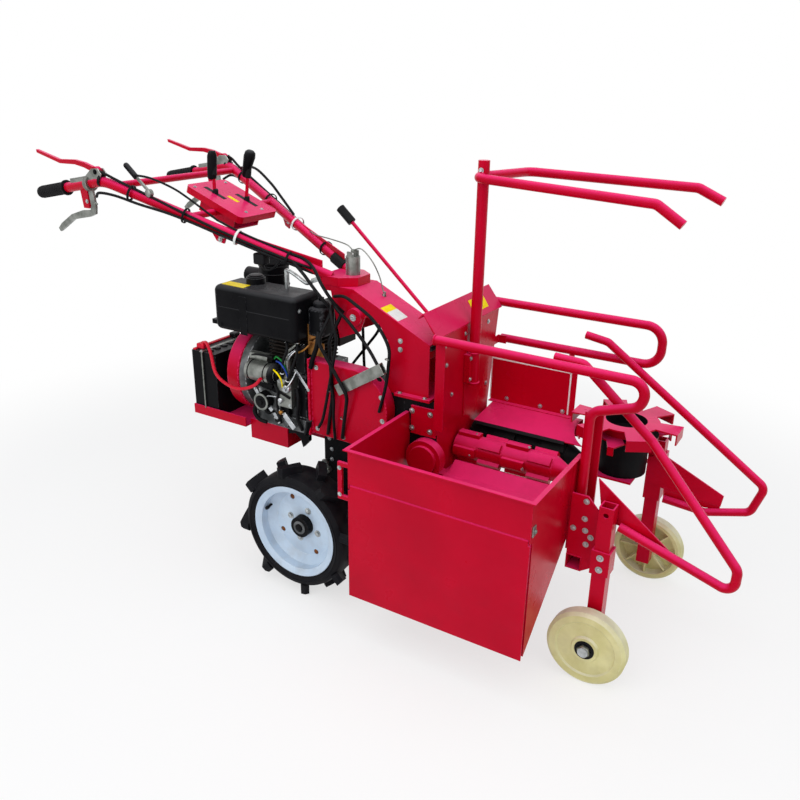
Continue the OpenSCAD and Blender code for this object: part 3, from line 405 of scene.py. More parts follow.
# The paler cream that this finish takes on what faces up is a painted highlight of the sky's reflection
CREAM = Finish(
    "cream_nylon", "cream_plastic", (0.74, 0.70, 0.36), (0.62, 0.58, 0.26), roughness=0.44, mottle=18.0,
    grain=300.0, grain_depth=0.0002, worn=(0.80, 0.78, 0.60), dust=(0.40, 0.36, 0.20), dust_share=0.4,
    painted_sheen=(0.80, 0.79, 0.62),
)
YELLOW = Finish("yellow_film", "cream_plastic", (1.0, 0.80, 0.0), (0.92, 0.70, 0.0), specular=0.1, mottle=60.0)
PALE = Finish("white_film", "white_paint", (0.86, 0.88, 0.86), (0.76, 0.79, 0.77), specular=0.2, mottle=60.0)
GREEN = Finish("green_wire", "cream_plastic", (0.0, 0.22, 0.03), (0.0, 0.17, 0.02), mottle=60.0)
BLUE = Finish("blue_wire", "cream_plastic", (0.01, 0.06, 0.42), (0.01, 0.04, 0.32), mottle=60.0)
FINISHES = {
    finish.slot: finish
    for finish in (RED, WHITE, BLACK, TYRE, ALLOY, ZINC, GOLD, PLASTIC, SOOT_AND_SHADE, RUBBER, RED_RUBBER, CREAM)
}


@dataclass
class Studio:
    """The camera at the photograph's angle, the pale floor and the soft lights."""

    position: Point = (1.1757, -1.8424, 1.4025)
    azimuth: float = 31.163
    elevation: float = 21.872
    roll: float = 0.880
    lens: float = 36.782
    floor: Colour = (0.92, 0.92, 0.92)
    # How much of the white backdrop lies over the floor near the machine, and the radii between which it
    # takes over
    veil: float = 0.66
    fade: tuple[float, float] = (1.3, 2.4)
    sky: float = 0.42
    sky_colour: Colour = (0.93, 0.96, 1.0)
    # Each lamp's place, its size in metres and its power in watts
    lamps: tuple[tuple[Point, float, float], ...] = (
        ((0.1, -0.6, 3.6), 4.4, 66.0),
        ((-0.4, -3.4, 2.2), 3.4, 48.0),
        ((3.2, -0.8, 2.2), 2.8, 24.0),
    )

    def build(self) -> None:
        """Makes the camera, world, floor and lamps."""
        self.make_camera()
        self.make_world()
        self.make_floor()
        for place, size, power in self.lamps:
            self.make_lamp(Vector(place), size, power)
        bpy.context.scene.view_settings.view_transform = "Standard"

    def make_camera(self) -> None:
        """Makes the camera from its place, its two angles and its roll."""
        data = bpy.data.cameras.new("camera")
        data.lens, data.sensor_width = self.lens, 36.0
        data.clip_start, data.clip_end = 0.05, 60.0
        camera = bpy.data.objects.new("camera", data)
        around, above = math.radians(self.azimuth), math.radians(self.elevation)
        flat = math.cos(above)
        back = Vector((math.sin(around) * flat, -math.cos(around) * flat, math.sin(above)))
        turn = (-back).to_track_quat("-Z", "Y").to_matrix() @ Matrix.Rotation(math.radians(self.roll), 3, "Z")
        camera.matrix_world = Matrix.Translation(self.position) @ turn.to_4x4()
        bpy.context.scene.collection.objects.link(camera)
        bpy.context.scene.camera = camera

    def seen(self, nodes: Nodes) -> Value:
        """Adds the test for rays that show the backdrop.

        Args:
            nodes: The node tree of the world or a material.

        Returns:
            A value that is 1 for camera, glossy and transmission rays.
        """
        camera, glossy, clear = (
            nodes.node("ShaderNodeLightPath", out=f"Is {kind} Ray") for kind in ("Camera", "Glossy", "Transmission")
        )
        return camera.most(glossy).most(clear)

    def make_world(self) -> None:
        """Lights everything softly from a world that is seen as white."""
        world = bpy.data.worlds.new("studio")
        world.use_nodes = True
        nodes = Nodes(world.node_tree)
        soft = nodes.node("ShaderNodeBackground", None, {"Color": self.sky_colour, "Strength": self.sky})
        white = nodes.node("ShaderNodeBackground", None, {"Color": (1.0, 1.0, 1.0), "Strength": 1.0})
        whole = nodes.node("ShaderNodeMixShader", None, {0: self.seen(nodes), 1: soft, 2: white})
        nodes.node("ShaderNodeOutputWorld", None, {"Surface": whole}, out=None)
        bpy.context.scene.world = world

    def make_floor(self) -> None:
        """Makes the floor, which is seen as white apart from the machine's soft shadow."""
        mesh = bpy.data.meshes.new("floor")
        grid = bmesh.new()
        bmesh.ops.create_grid(grid, x_segments=1, y_segments=1, size=12.0)
        grid.to_mesh(mesh)
        grid.free()
        floor = bpy.data.objects.new("floor", mesh)
        bpy.context.scene.collection.objects.link(floor)
        shader = Shader("floor")
        shader.set(Base_Color=self.floor, Roughness=0.9, Specular_IOR_Level=0.1)
        length = {"operation": "LENGTH"}
        distance = shader.node("ShaderNodeVectorMath", length, {0: shader.place()}, out="Value")
        far = distance.ramp(*self.fade)
        share = (self.veil + far * (1.0 - self.veil)) * self.seen(shader)
        plain = Value(shader, shader.surface.outputs[0])
        white = shader.node("ShaderNodeEmission", None, {"Color": (1.0, 1.0, 1.0), "Strength": 1.0})
        shader.show(shader.node("ShaderNodeMixShader", None, {0: share, 1: plain, 2: white}))
        mesh.materials.append(shader.material)

    def make_lamp(self, place: Vector, size: float, power: float) -> None:
        """Makes one soft square lamp that looks at the machine's middle.

        Args:
            place: Where the lamp stands.
            size: Its side in metres.
            power: Its power in watts.
        """
        data = bpy.data.lights.new("softbox", "AREA")
        data.size, data.energy = size, power
        lamp = bpy.data.objects.new("softbox", data)
        lamp.location = place
        lamp.rotation_mode = "QUATERNION"
        lamp.rotation_quaternion = (Vector((0.0, 0.0, 0.5)) - place).to_track_quat("-Z", "Y")
        bpy.context.scene.collection.objects.link(lamp)


def settle(piece: bpy.types.Object) -> None:
    """Evens the shading of a piece's flats and turns its modifiers into plain mesh.

    Args:
        piece: The piece, whose mesh is replaced.
    """
    piece.data.set_sharp_from_angle(angle=math.radians(SHARP_ANGLE))
    weighted = piece.modifiers.new("even_shading", "WEIGHTED_NORMAL")
    weighted.weight, weighted.keep_sharp = 90, True
    graph = bpy.context.evaluated_depsgraph_get()
    mesh = bpy.data.meshes.new_from_object(piece.evaluated_get(graph))
    piece.modifiers.clear()
    raw, piece.data = piece.data, mesh
    bpy.data.meshes.remove(raw)
    mesh.name = piece.name


def body_of(node: str) -> str:
    """Gives the body that a CAD node belongs to."""
    bodies = frame["record"]["behaviour"]["bodies"]
    return next(body for body, nodes in bodies.items() if node in nodes)


@dataclass
class Accent:
    """A round region of a CAD node that has a finish of its own."""

    finish: Finish
    middle: Point
    axis: Point
    radius: float
    reach: float

    def holds(self, point: Vector) -> bool:
        """Tells whether a point lies in the region.

        Args:
            point: The point, in metres.

        Returns:
            True if it does.
        """
        offset = point - at(*self.middle)
        along = offset.dot(Vector(self.axis))
        across = (offset - Vector(self.axis) * along).length
        return across < self.radius * MM and abs(along) < self.reach * MM


@dataclass
class CadDressing:
    """Rounded, finished copies of the CAD nodes whose shape is already right."""

    # The edge radius in mm, and the angle in degrees from which an edge is rounded
    bevel: float = 1.0
    bevel_angle: float = 35.0
    # Points closer than this in metres are one, and faces within this many degrees are one flat
    merge: float = 2e-5
    flat_angle: float = 1.0
    # Nodes with an edge radius of their own, in mm
    radii: dict[str, float] = field(default_factory=lambda: {
        "tyre_right": 3.0, "tyre_left": 3.0, "battery": 3.0, "gearbox": 4.0, "header_gearbox": 4.0,
        "engine_block": 1.5, "fan_housing": 2.0, "recoil_cover": 5.0, "fuel_tank": 2.0, "muffler": 6.0,
        "clutch_cover": 3.0, "arch": 2.0, "gauge_wheel_right": 2.0, "gauge_wheel_left": 2.0,
        "air_filter": 4.0, "grips": 3.0, "brake_levers": 2.0, "control_levers": 2.5, "swivel_post": 2.0,
    })
    accents: dict[str, list[Accent]] = field(default_factory=dict)
    # Nodes that stay in triangles, for their faces with many holes
    faceted: tuple[str, ...] = ("rim_right", "rim_left")
    # Cables that the sub-assemblies make as pieces of their own
    elsewhere: tuple[str, ...] = ("battery_lead", "handlebar_cables")

    def build(self) -> None:
        """Replaces the CAD nodes with their rounded copies."""
        for row in frame["record"]["subparts"]:
            if row["node"] not in self.elsewhere:
                self.dress(row["node"], FINISHES[row["material_slot"]])

    def dress(self, node: str, finish: Finish) -> None:
        """Makes one rounded copy.

        Args:
            node: The CAD node.
            finish: The finish of its slot.
        """
        source = frame["nodes"][node]
        mesh = bpy.data.meshes.new(f"{node}_look")
        work = bmesh.new()
        work.from_mesh(source.data)
        bmesh.ops.remove_doubles(work, verts=work.verts, dist=self.merge)
        if node not in self.faceted:
            limit = math.radians(self.flat_angle)
            bmesh.ops.dissolve_limit(work, angle_limit=limit, verts=work.verts, edges=work.edges)
        self.round_edges(work, self.radii.get(node, self.bevel) * MM)
        accents = self.accents.get(node, [])
        for face in work.faces:
            face.smooth = True
            face.material_index = 0
            for index, accent in enumerate(accents, 1):
                if accent.holds(face.calc_center_median()):
                    face.material_index = index
        work.to_mesh(mesh)
        work.free()
        for used in (finish, *(accent.finish for accent in accents)):
            mesh.materials.append(used.material())
        piece = bpy.data.objects.new(f"{node}_look", mesh)
        bpy.context.scene.collection.objects.link(piece)
        settle(piece)
        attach(piece, body_of(node))
        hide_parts(node)
        log.info("%s: %d faces", piece.name, len(piece.data.polygons))

    def round_edges(self, work: bmesh.types.BMesh, radius: float) -> None:
        """Rounds the sharp edges and marks the faces that this makes as worn.

        Args:
            work: The mesh.
            radius: The edge radius in metres.
        """
        limit = math.radians(self.bevel_angle)
        sharp = [e for e in work.edges if e.is_manifold and e.calc_face_angle(0.0) > limit]
        worn = work.faces.layers.float.new(EDGE)
        made = bmesh.ops.bevel(
            work, geom=sharp, offset=radius, offset_type="OFFSET", segments=2, profile=0.5,
            affect="EDGES", clamp_overlap=True, material=-1,
        )
        for face in made["faces"]:
            face[worn] = 1.0


class Shape:
    """One added piece: shapes that share a finish and ride on one body, measured like the machine in mm."""

    def __init__(self, name: str, finish: Finish, body: Body = Body.CHASSIS) -> None:
        """Starts an empty piece.

        Args:
            name: Its name.
            finish: Its finish.
            body: The body that it rides on.
        """
        self.name, self.body, self.finish = name, body, finish
        self.work = bmesh.new()
        self.worn = self.work.faces.layers.float.new(EDGE)

    def tube(self, path: Sequence[Point], radius: float, sides: int = 10, steps: int = 6) -> None:
        """Adds a round rod, pipe or cable along a smooth path.

        Args:
            path: The points that it passes through.
            radius: Its radius.
            sides: How many sides its section has.
            steps: How many short lengths there are between two points.
        """
        line = smooth_path([at(*p) for p in path], steps)
        rings: list[list[bmesh.types.BMVert]] = []
        across = (line[1] - line[0]).orthogonal().normalized()
        for index, point in enumerate(line):
            before, after = line[max(index - 1, 0)], line[min(index + 1, len(line) - 1)]
            ahead = (after - before).normalized()
            across = (across - ahead * across.dot(ahead)).normalized()
            other = ahead.cross(across)
            rings.append([
                self.work.verts.new(point + (across * math.cos(a) + other * math.sin(a)) * radius * MM)
                for a in (math.tau * k / sides for k in range(sides))
            ])
        self.skin(rings, closed=True)

    def turned(self, base: Point, axis: Point, profile: Sequence[tuple[float, float]], sides: int = 28) -> None:
        """Adds a turned part.

        Args:
            base: Where its axis starts.
            axis: The axis's direction.
            profile: Radius and distance along the axis, from one end to the other.
            sides: How many sides it has.
        """
        ahead = Vector(axis).normalized()
        across = ahead.orthogonal().normalized()
        other = ahead.cross(across)
        rings = [
            [
                self.work.verts.new(at(*base) + (ahead * along + (across * math.cos(a) + other * math.sin(a))
                                                 * max(radius, 0.05)) * MM)
                for a in (math.tau * k / sides for k in range(sides))
            ]
            for radius, along in profile
        ]
        self.skin(rings, closed=True)

    def ring(self, middle: Point, axis: Point, radius: float, thick: float, sides: int = 48) -> None:
        """Adds a round bead in the form of a torus.

        Args:
            middle: Its middle.
            axis: The direction that it is round about.
            radius: The radius of its core.
            thick: The radius of its section.
            sides: How many sides it has.
        """
        ahead = Vector(axis).normalized()
        across = ahead.orthogonal().normalized()
        other = ahead.cross(across)
        rings = []
        for k in range(sides):
            out = across * math.cos(math.tau * k / sides) + other * math.sin(math.tau * k / sides)
            rings.append([
                self.work.verts.new(
                    at(*middle) + (out * (radius + thick * math.cos(a)) + ahead * thick * math.sin(a)) * MM
                )
                for a in (math.tau * j / 8 for j in range(8))
            ])
        rings.append(rings[0])
        self.skin(rings, closed=False)

    def skin(self, rings: list[list[bmesh.types.BMVert]], closed: bool) -> None:
        """Joins rings of points into a surface.

        Args:
            rings: The rings, each with as many points.
            closed: Whether the two ends get a face each.
        """
        count = len(rings[0])
        for low, high in zip(rings, rings[1:]):
            for k in range(count):
                self.work.faces.new((low[k], low[(k + 1) % count], high[(k + 1) % count], high[k]))
        if closed:
            self.work.faces.new(list(reversed(rings[0])))
            self.work.faces.new(rings[-1])

    def prism(self, outline: Sequence[Point], depth: Point, round_by: float = 0.8) -> None:
        """Adds a flat plate or bar.

        Args:
            outline: The corners of one face, in order.
            depth: The way from that face to the other one.
            round_by: The radius of its edges.
        """
        first = [self.work.verts.new(at(*p)) for p in outline]
        second = [self.work.verts.new(at(*p) + Vector(depth) * MM) for p in outline]
        faces = [self.work.faces.new(list(reversed(first))), self.work.faces.new(second)]
        for k in range(len(first)):
            n = (k + 1) % len(first)
            faces.append(self.work.faces.new((first[k], first[n], second[n], second[k])))
        bmesh.ops.recalc_face_normals(self.work, faces=faces)
        if round_by:
            edges = list(dict.fromkeys(edge for face in faces for edge in face.edges))
            made = bmesh.ops.bevel(
                self.work, geom=edges, offset=round_by * MM, offset_type="OFFSET", segments=2, profile=0.5,
                affect="EDGES", clamp_overlap=True,
            )
            for face in made["faces"]:
                face[self.worn] = 1.0

    def block(self, low: Point, high: Point, round_by: float = 1.0) -> None:
        """Adds a box with round edges.

        Args:
            low: Its lowest corner.
            high: Its highest corner.
            round_by: The radius of its edges.
        """
        (x0, y0, z0), (x1, y1, z1) = low, high
        self.prism([(x0, y0, z0), (x1, y0, z0), (x1, y1, z0), (x0, y1, z0)], (0, 0, z1 - z0), round_by)

    def bar(self, start: Point, end: Point, width: float, thick: float) -> None:
        """Adds a flat bar that stands on edge towards the side.

        Args:
            start: The middle of one end.
            end: The middle of the other end.
            width: Its width in the plane of X and Z.
            thick: Its thickness along Y.
        """
        way = (Vector(end) - Vector(start)).normalized()
        up = Vector((-way.z, 0.0, way.x)) * width / 2
        outline = [Vector(start) - up, Vector(end) - up, Vector(end) + up, Vector(start) + up]
        self.prism([tuple(p) for p in outline], (0, thick, 0))

    def ribs(self, middle: Point, inner: float, outer: float, first: float = 0.0) -> None:
        """Adds six short round ribs that stand about a boss on a side face.

        Args:
            middle: The boss's middle.
            inner: The radius at which the ribs start.
            outer: The radius at which they end.
            first: The first rib's turn, in sixths of a whole turn.
        """
        x, y, z = middle
        for k in range(6):
            turn = math.tau * (k + first) / 6
            self.tube([
                (x + radius * math.cos(turn), y, z + radius * math.sin(turn)) for radius in (inner, outer)
            ], 4.0, 8)

    def done(self, between: tuple[Point, Point] | None = None, node: str | None = None) -> bpy.types.Object:
        """Finishes the piece.

        Args:
            between: Given for a cable across the swivel, where it leaves the handlebar and where it meets the arch;
                the piece then keeps its place but rides on no body, and the points are not used.
            node: The CAD node that it stands for.

        Returns:
            The piece.
        """
        mesh = bpy.data.meshes.new(self.name)
        for face in self.work.faces:
            face.smooth = True
        bmesh.ops.recalc_face_normals(self.work, faces=self.work.faces)
        self.work.to_mesh(mesh)
        self.work.free()
        mesh.materials.append(self.finish.material())
        piece = bpy.data.objects.new(self.name, mesh)
        bpy.context.scene.collection.objects.link(piece)
        settle(piece)
        if between:
            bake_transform(piece)
        else:
            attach(piece, self.body.value)
        if node:
            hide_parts(node)
        log.info("%s: %d faces", piece.name, len(piece.data.polygons))
        return piece


def smooth_path(points: list[Vector], steps: int) -> list[Vector]:
    """Fills in a smooth line through points.

    Args:
        points: The points.
        steps: How many short lengths there are between two of them.

    Returns:
        The line's points.
    """
    if len(points) == 2:
        return points
    ends = [points[0] * 2 - points[1], *points, points[-1] * 2 - points[-2]]
    line = []
    for a, b, c, d in zip(ends, ends[1:], ends[2:], ends[3:]):
        for k in range(steps):
            t = k / steps
            line.append(0.5 * (2 * b + (c - a) * t + (2 * a - 5 * b + 4 * c - d) * t * t
                               + (3 * b - a - 3 * c + d) * t ** 3))
    return [*line, points[-1]]


@dataclass
class Fasteners:
    """Hexagon bolts with washers, set by Geometry Nodes on points that the sub-assemblies ask for."""

    # A bolt's sizes, as shares of its head's radius
    sizes: dict[str, float] = field(default_factory=lambda: {
        "Head Height": 0.62, "Chamfer Radius": 0.78, "Chamfer Height": 0.14, "Washer Radius": 1.65,
        "Washer Height": 0.24,
    })
    # What is asked for: place, facing and head radius, by body and finish
    rows: dict[tuple[Body, Finish], list[tuple[Point, Point, float]]] = field(default_factory=dict)

    def add(
        self, finish: Finish, facing: Point, size: float, *places: Point, body: Body = Body.CHASSIS,
    ) -> None:
        """Asks for bolts.

        Args:
            finish: Their finish.
            facing: The way that their heads face.
            size: The head's radius in mm.
            places: Where they sit, in the machine's mm.
            body: The body that they ride on.
        """
        rows = self.rows.setdefault((body, finish), [])
        rows.extend((place, facing, size) for place in places)

    def make_tree(self) -> bpy.types.NodeTree:
        """Builds the tree that sets one bolt on every point.

        Returns:
            The tree, whose inputs are a bolt's sizes and its material.
        """
        tree = bpy.data.node_groups.new("hexagon_bolts", "GeometryNodeTree")
        tree.interface.new_socket("Geometry", in_out="INPUT", socket_type="NodeSocketGeometry")
        for name in self.sizes:
            tree.interface.new_socket(name, in_out="INPUT", socket_type="NodeSocketFloat")
        tree.interface.new_socket("Material", in_out="INPUT", socket_type="NodeSocketMaterial")
        tree.interface.new_socket("Geometry", in_out="OUTPUT", socket_type="NodeSocketGeometry")

        nodes = Nodes(tree)
        height, chamfer_r, chamfer_height, wide, thin = (
            nodes.node("NodeGroupInput", out=name) for name in self.sizes
        )
        filled = {"fill_type": "NGON"}
        head = nodes.node("GeometryNodeMeshCylinder", filled, {"Vertices": 6, "Radius": 1.0, "Depth": height})
        chamfer = nodes.node("GeometryNodeMeshCone", filled, {
            "Vertices": 6, "Radius Top": chamfer_r, "Radius Bottom": 1.0, "Depth": chamfer_height,
        })
        washer = nodes.node("GeometryNodeMeshCylinder", filled, {"Vertices": 18, "Radius": wide, "Depth": thin})
        bolt = nodes.node("GeometryNodeJoinGeometry")
        for part, lift in ((head, height * 0.5 + thin), (chamfer, height + thin), (washer, thin * 0.5)):
            raised = nodes.node("ShaderNodeCombineXYZ", None, {"Z": lift})
            moved = nodes.node("GeometryNodeTransform", None, {"Geometry": part, "Translation": raised})
            nodes.feed(bolt.socket.node.inputs[0], moved)
        facing = nodes.node("GeometryNodeInputNamedAttribute", {"data_type": "FLOAT_VECTOR"}, {"Name": "facing"})
        size = nodes.node("GeometryNodeInputNamedAttribute", {"data_type": "FLOAT"}, {"Name": "size"})
        turn = nodes.node("FunctionNodeAlignRotationToVector", {"axis": "Z"}, {"Vector": facing})
        bolts = nodes.node("GeometryNodeInstanceOnPoints", None, {
            "Points": nodes.node("NodeGroupInput", out="Geometry"), "Instance": bolt, "Rotation": turn,
            "Scale": size,
        })
        real = nodes.node("GeometryNodeRealizeInstances", None, {"Geometry": bolts})
        finish = nodes.node("NodeGroupInput", out="Material")
        coated = nodes.node("GeometryNodeSetMaterial", None, {"Geometry": real, "Material": finish})
        nodes.node("NodeGroupOutput", None, {0: coated}, out=None)
        return tree

    def build(self) -> None:
        """Makes the bolts, one piece for each body and finish."""
        tree = self.make_tree()
        sockets = {item.name: item.identifier for item in tree.interface.items_tree if item.in_out == "INPUT"}
        for (body, finish), rows in self.rows.items():
            name = f"bolts_{body.value}_{finish.name}"
            points = bpy.data.meshes.new(name)
            points.from_pydata([at(*place) for place, _, _ in rows], [], [])
            facing = points.attributes.new("facing", "FLOAT_VECTOR", "POINT")
            facing.data.foreach_set("vector", [c for _, way, _ in rows for c in Vector(way).normalized()])
            size = points.attributes.new("size", "FLOAT", "POINT")
            size.data.foreach_set("value", [radius * MM for _, _, radius in rows])
            piece = bpy.data.objects.new(name, points)
            bpy.context.scene.collection.objects.link(piece)
            setter = piece.modifiers.new("bolts", "NODES")
            setter.node_group = tree
            for socket, value in {**self.sizes, "Material": finish.material()}.items():
                setter[sockets[socket]] = value
            graph = bpy.context.evaluated_depsgraph_get()
            mesh = bpy.data.meshes.new_from_object(piece.evaluated_get(graph))
            piece.modifiers.clear()
            piece.data = mesh
            bpy.data.meshes.remove(points)
            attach(piece, body.value)
            log.info("%s: %d bolts, %d faces", name, len(rows), len(mesh.polygons))


@dataclass
class DriveWheels:
    """Dress of the two drive wheels: wheel bolts, hub caps, vent plugs, valves and tyre beads."""

    bolts: Fasteners
    axle_z: float = 195.0
    # How far out the disc, the hub's nose and the tyre's two beads stand
    disc: float = 219.0
    nose: float = 241.0
    beads: tuple[float, float] = (269.0, 275.5)
    # The radius of each ring of places and the turn of its first one in degrees
    bolt_ring: tuple[float, float] = (50.0, 72.0)
    vent_ring: tuple[float, float] = (88.0, 27.0)
    valve_turn: float = 160.0

    def build(self) -> None:
        """Makes both wheels' pieces."""
        for side, body, name in ((-1, Body.DRIVE_RIGHT, "right"), (1, Body.DRIVE_LEFT, "left")):
            self.dress(side, body, name)

    def around(self, radius: float, degrees: float, y: float) -> Point:
        """Gives a place on a circle about the axle."""
        turn = math.radians(degrees)
        return (radius * math.cos(turn), y, self.axle_z + radius * math.sin(turn))

    def dress(self, side: int, body: Body, name: str) -> None:
        """Makes one wheel's pieces.

        Args:
            side: -1 on the right and 1 on the left.
            body: The wheel's body.
            name: The side's name.
        """
        out = (0, side, 0)
        quarters = (0.0, 90.0, 180.0, 270.0)
        radius, first = self.bolt_ring
        for turn in quarters:
            self.bolts.add(BOLT, out, 6.2, self.around(radius, first + turn, side * self.disc), body=body)
        cap = Shape(f"hub_cap_{name}", ALLOY, body)
        cap.turned((0, side * (self.nose - 1), self.axle_z), out,
                   [(20, 0), (20, 3), (18, 4), (13, 4), (12, 1), (0, 1)])
        cap.done()
        plugs = Shape(f"vent_plugs_{name}", RUST, body)
        radius, first = self.vent_ring
        for turn in quarters:
            plugs.turned(self.around(radius, first + turn, side * (self.disc - 5)), out,
                         [(7.6, 0), (7.6, 3), (6, 4), (0, 3.4)], 20)
        plugs.done()
        nut = Shape(f"hub_nut_{name}", BLACK, body)
        nut.turned((0, side * self.nose, self.axle_z), out, [(12, 0), (12, 4), (10, 6), (5, 6.5), (0, 6.5)], 6)
        nut.done()
        bead = Shape(f"tyre_beads_{name}", TYRE, body)
        for y, radius, thick in zip(self.beads, (141.5, 153.0), (3.2, 2.2)):
            bead.ring((0, side * y, self.axle_z), out, radius, thick, 64)
        bead.done()
        valve = Shape(f"valve_{name}", RUBBER, body)
        tip = self.around(112, self.valve_turn, side * 250)
        valve.tube([self.around(116, self.valve_turn, side * 222), tip], 4.0)
        valve.turned(tip, out, [(5.2, -2), (5.2, 7), (4.2, 9), (0, 9)], 12)
        valve.done()


@dataclass
class GaugeWheels:
    """Dress of the two gauge wheels: bearing seals, axle nuts and the axles' bright ends."""

    x: float = 837.0
    z: float = 100.0
    # The outer faces of the right and the left hub
    faces: tuple[float, float] = (-198.0, 384.0)

    def accents(self) -> dict[str, list[Accent]]:
        """Gives the bright ends of the axles."""
        return {"gauge_legs": [Accent(BOLT, (self.x, y, self.z), LEFT, 13.0, 11.0) for y in (-206, 392)]}

    def build(self) -> None:
        """Makes both wheels' pieces."""
        for face, axis, body, name in (
            (self.faces[0], RIGHT, Body.GAUGE_RIGHT, "right"), (self.faces[1], LEFT, Body.GAUGE_LEFT, "left"),
        ):
            seal = Shape(f"bearing_seal_{name}", RUBBER, body)
            seal.turned((self.x, face - axis[1], self.z), axis,
                        [(25, 0), (25, 2), (23, 3), (17, 3), (16, 1), (0, 1)], 32)
            seal.done()
            nut = Shape(f"axle_nut_{name}", ZINC)
            nut.turned((self.x, face + axis[1] * 2, self.z), axis,
                       [(17, 0), (17, 1.5), (16.9, 7), (15, 9), (9, 9)], 6)
            nut.done()


@dataclass
class Engine:
    """The engine's fittings: covers, starter leads, fuel pipes, rods, battery clamps and tank trim."""

    bolts: Fasteners
    # The right and left faces of the crankcase
    right: float = -95.0
    left: float = 94.0
    # The starter's axis, in Y and Z
    starter: tuple[float, float] = (-125.3, 590.0)
    # The recoil cover's rear, its middle's height, its flat's radius and its fall outside the flat
    recoil_x: float = -365.5
    recoil_z: float = 552.0
    recoil_flat: float = 45.0
    recoil_fall: float = 0.1
    # The battery lead's route from the terminal to the starter, and its radius
    lead: tuple[Point, ...] = (
        (-460, -105, 628), (-432, -118, 634), (-400, -136, 612), (-370, -152, 562), (-328, -156, 538),
        (-273, -158, 533), (-215, -161, 556), (-186, -161, 584),
    )
    lead_r: float = 5.0

    def accents(self) -> dict[str, list[Accent]]:
        """Gives the cylinder's fins the dark sooty finish as painted shade, for the shadow that falls on them under
        the tank.
        """
        return {"engine_block": [Accent(SOOT_AND_SHADE, (-160, 0, 660), UP, 200.0, 52.0)]}

    def build(self) -> None:
        """Makes the engine's pieces."""
        self.make_lead()
        self.make_right_cover()
        self.make_shrouds()
        self.make_recoil()
        self.make_starter()
        self.make_linkage()
        self.make_wires()
        self.make_hoses()
        self.make_left_cover()
        self.make_gear_case()
        self.make_tank_trim()
        self.make_filter_trim()
        self.make_battery_trim()

    def make_lead(self) -> None:
        """Makes the red lead that hangs between the battery and the starter."""
        lead = Shape("red_lead", RED_RUBBER)
        lead.tube(self.lead, self.lead_r, 12)
        piece = lead.done(node="battery_lead")
        route = smooth_path([at(*p) for p in self.lead], 6)
        length = sum((b - a).length for a, b in zip(route, route[1:]))

    def make_right_cover(self) -> None:
        """Makes the crankcase cover of the right side, its boss, its feet and its bolts."""
        y = self.right
        cover = Shape("crankcase_cover", ALLOY)
        cover.prism(
            [(-246, y, 452), (-118, y, 448), (-98, y, 470), (-98, y, 560), (-128, y, 592), (-246, y, 560)],
            (0, -8, 0), 2.5,
        )
        cover.turned((-186, y - 7, 505), RIGHT, [(40, 0), (40, 3), (34, 8), (16, 10), (0, 10)])
        cover.block((-258, -118, 432), (-242, -96, 470), 3)
        cover.block((-150, -118, 428), (-128, -108, 452), 3)
        cover.done()
        self.bolts.add(BOLT, RIGHT, 4.0, *((x, y - 8, z) for x, z in (
            (-240, 458), (-180, 456), (-124, 456), (-104, 510), (-106, 552), (-240, 520))))

    def make_shrouds(self) -> None:
        """Makes the black shrouds and caps about the starter, the pump and the cylinder's front."""
        y, (starter_y, starter_z) = self.right, self.starter
        shroud = Shape("engine_shrouds", PLASTIC)
        shroud.prism(
            [(-252, y, 540), (-168, y, 528), (-150, y, 548), (-160, y, 572), (-252, y, 566)], (0, -24, 0), 4,
        )
        shroud.turned((-171, starter_y, starter_z), FRONT,
                      [(31, 0), (31, 6), (27, 13), (14, 18), (14, 26), (0, 26)])
        shroud.block((-92, -112, 470), (-62, -93, 600), 4)
        shroud.tube([(-70, -105, 420), (-58, -112, 446), (-52, -116, 470)], 9)
        shroud.prism([(x, -108, z) for x, z in (
            (-136, 421), (-60, 421), (-60, 398), (-84, 372), (-92, 398), (-112, 412), (-136, 404))], (0, 14, 0), 2)
        shroud.block((-63, -98, 716), (-10, -34, 800), 10)
        shroud.turned((-36, -66, 798), UP, [(24, 0), (24, 10), (19, 16), (8, 18), (8, 26), (0, 27)])
        shroud.tube([(-24, -98, 735), (-20, -112, 700), (-34, -114, 660), (-44, -112, 630)], 7)
        shroud.done()
        self.bolts.add(BOLT, FRONT, 3.3, (-171, -110, 606), (-171, -140, 574))

    def make_recoil(self) -> None:
        """Makes the recoil cover's grille rings, hub and bolts."""
        grille = Shape("recoil_grille", BLACK)
        for radius in (30.0, 42.0, 54.0, 66.0, 78.0):
            x = self.recoil_x + self.recoil_fall * max(radius - self.recoil_flat, 0.0)
            grille.ring((x, 0, self.recoil_z), FRONT, radius, 2.0)
        grille.turned((-364, 0, self.recoil_z), REAR, [(22, 0), (22, 3), (18, 5), (6, 6), (0, 6)])
        grille.done()
        self.bolts.add(BOLT, REAR, 4.2, *(
            (-359.3, 98 * math.cos(a), self.recoil_z + 98 * math.sin(a)) for a in (math.tau * k / 6 for k in range(6))
        ))

    def make_starter(self) -> None:
        """Makes the starter's bands, the filter under it and the pump's bolts."""
        bands = Shape("starter_bands", BLACK)
        for x in (-243, -186):
            bands.ring((x, *self.starter), FRONT, 30.0, 1.8)
        bands.turned((-210, -139, 500), RIGHT,
                     [(26.6, -34), (26.6, -3), (24, 0), (18, 1.5), (9, 1.5), (8, 7), (0, 7)])
        bands.bar((-152, -136, 548), (-104, -136, 532), 8, 3)
        bands.done()
        self.bolts.add(BOLT, RIGHT, 3.4, *((x, -133, z) for z in (508, 577) for x in (-144, -106)))

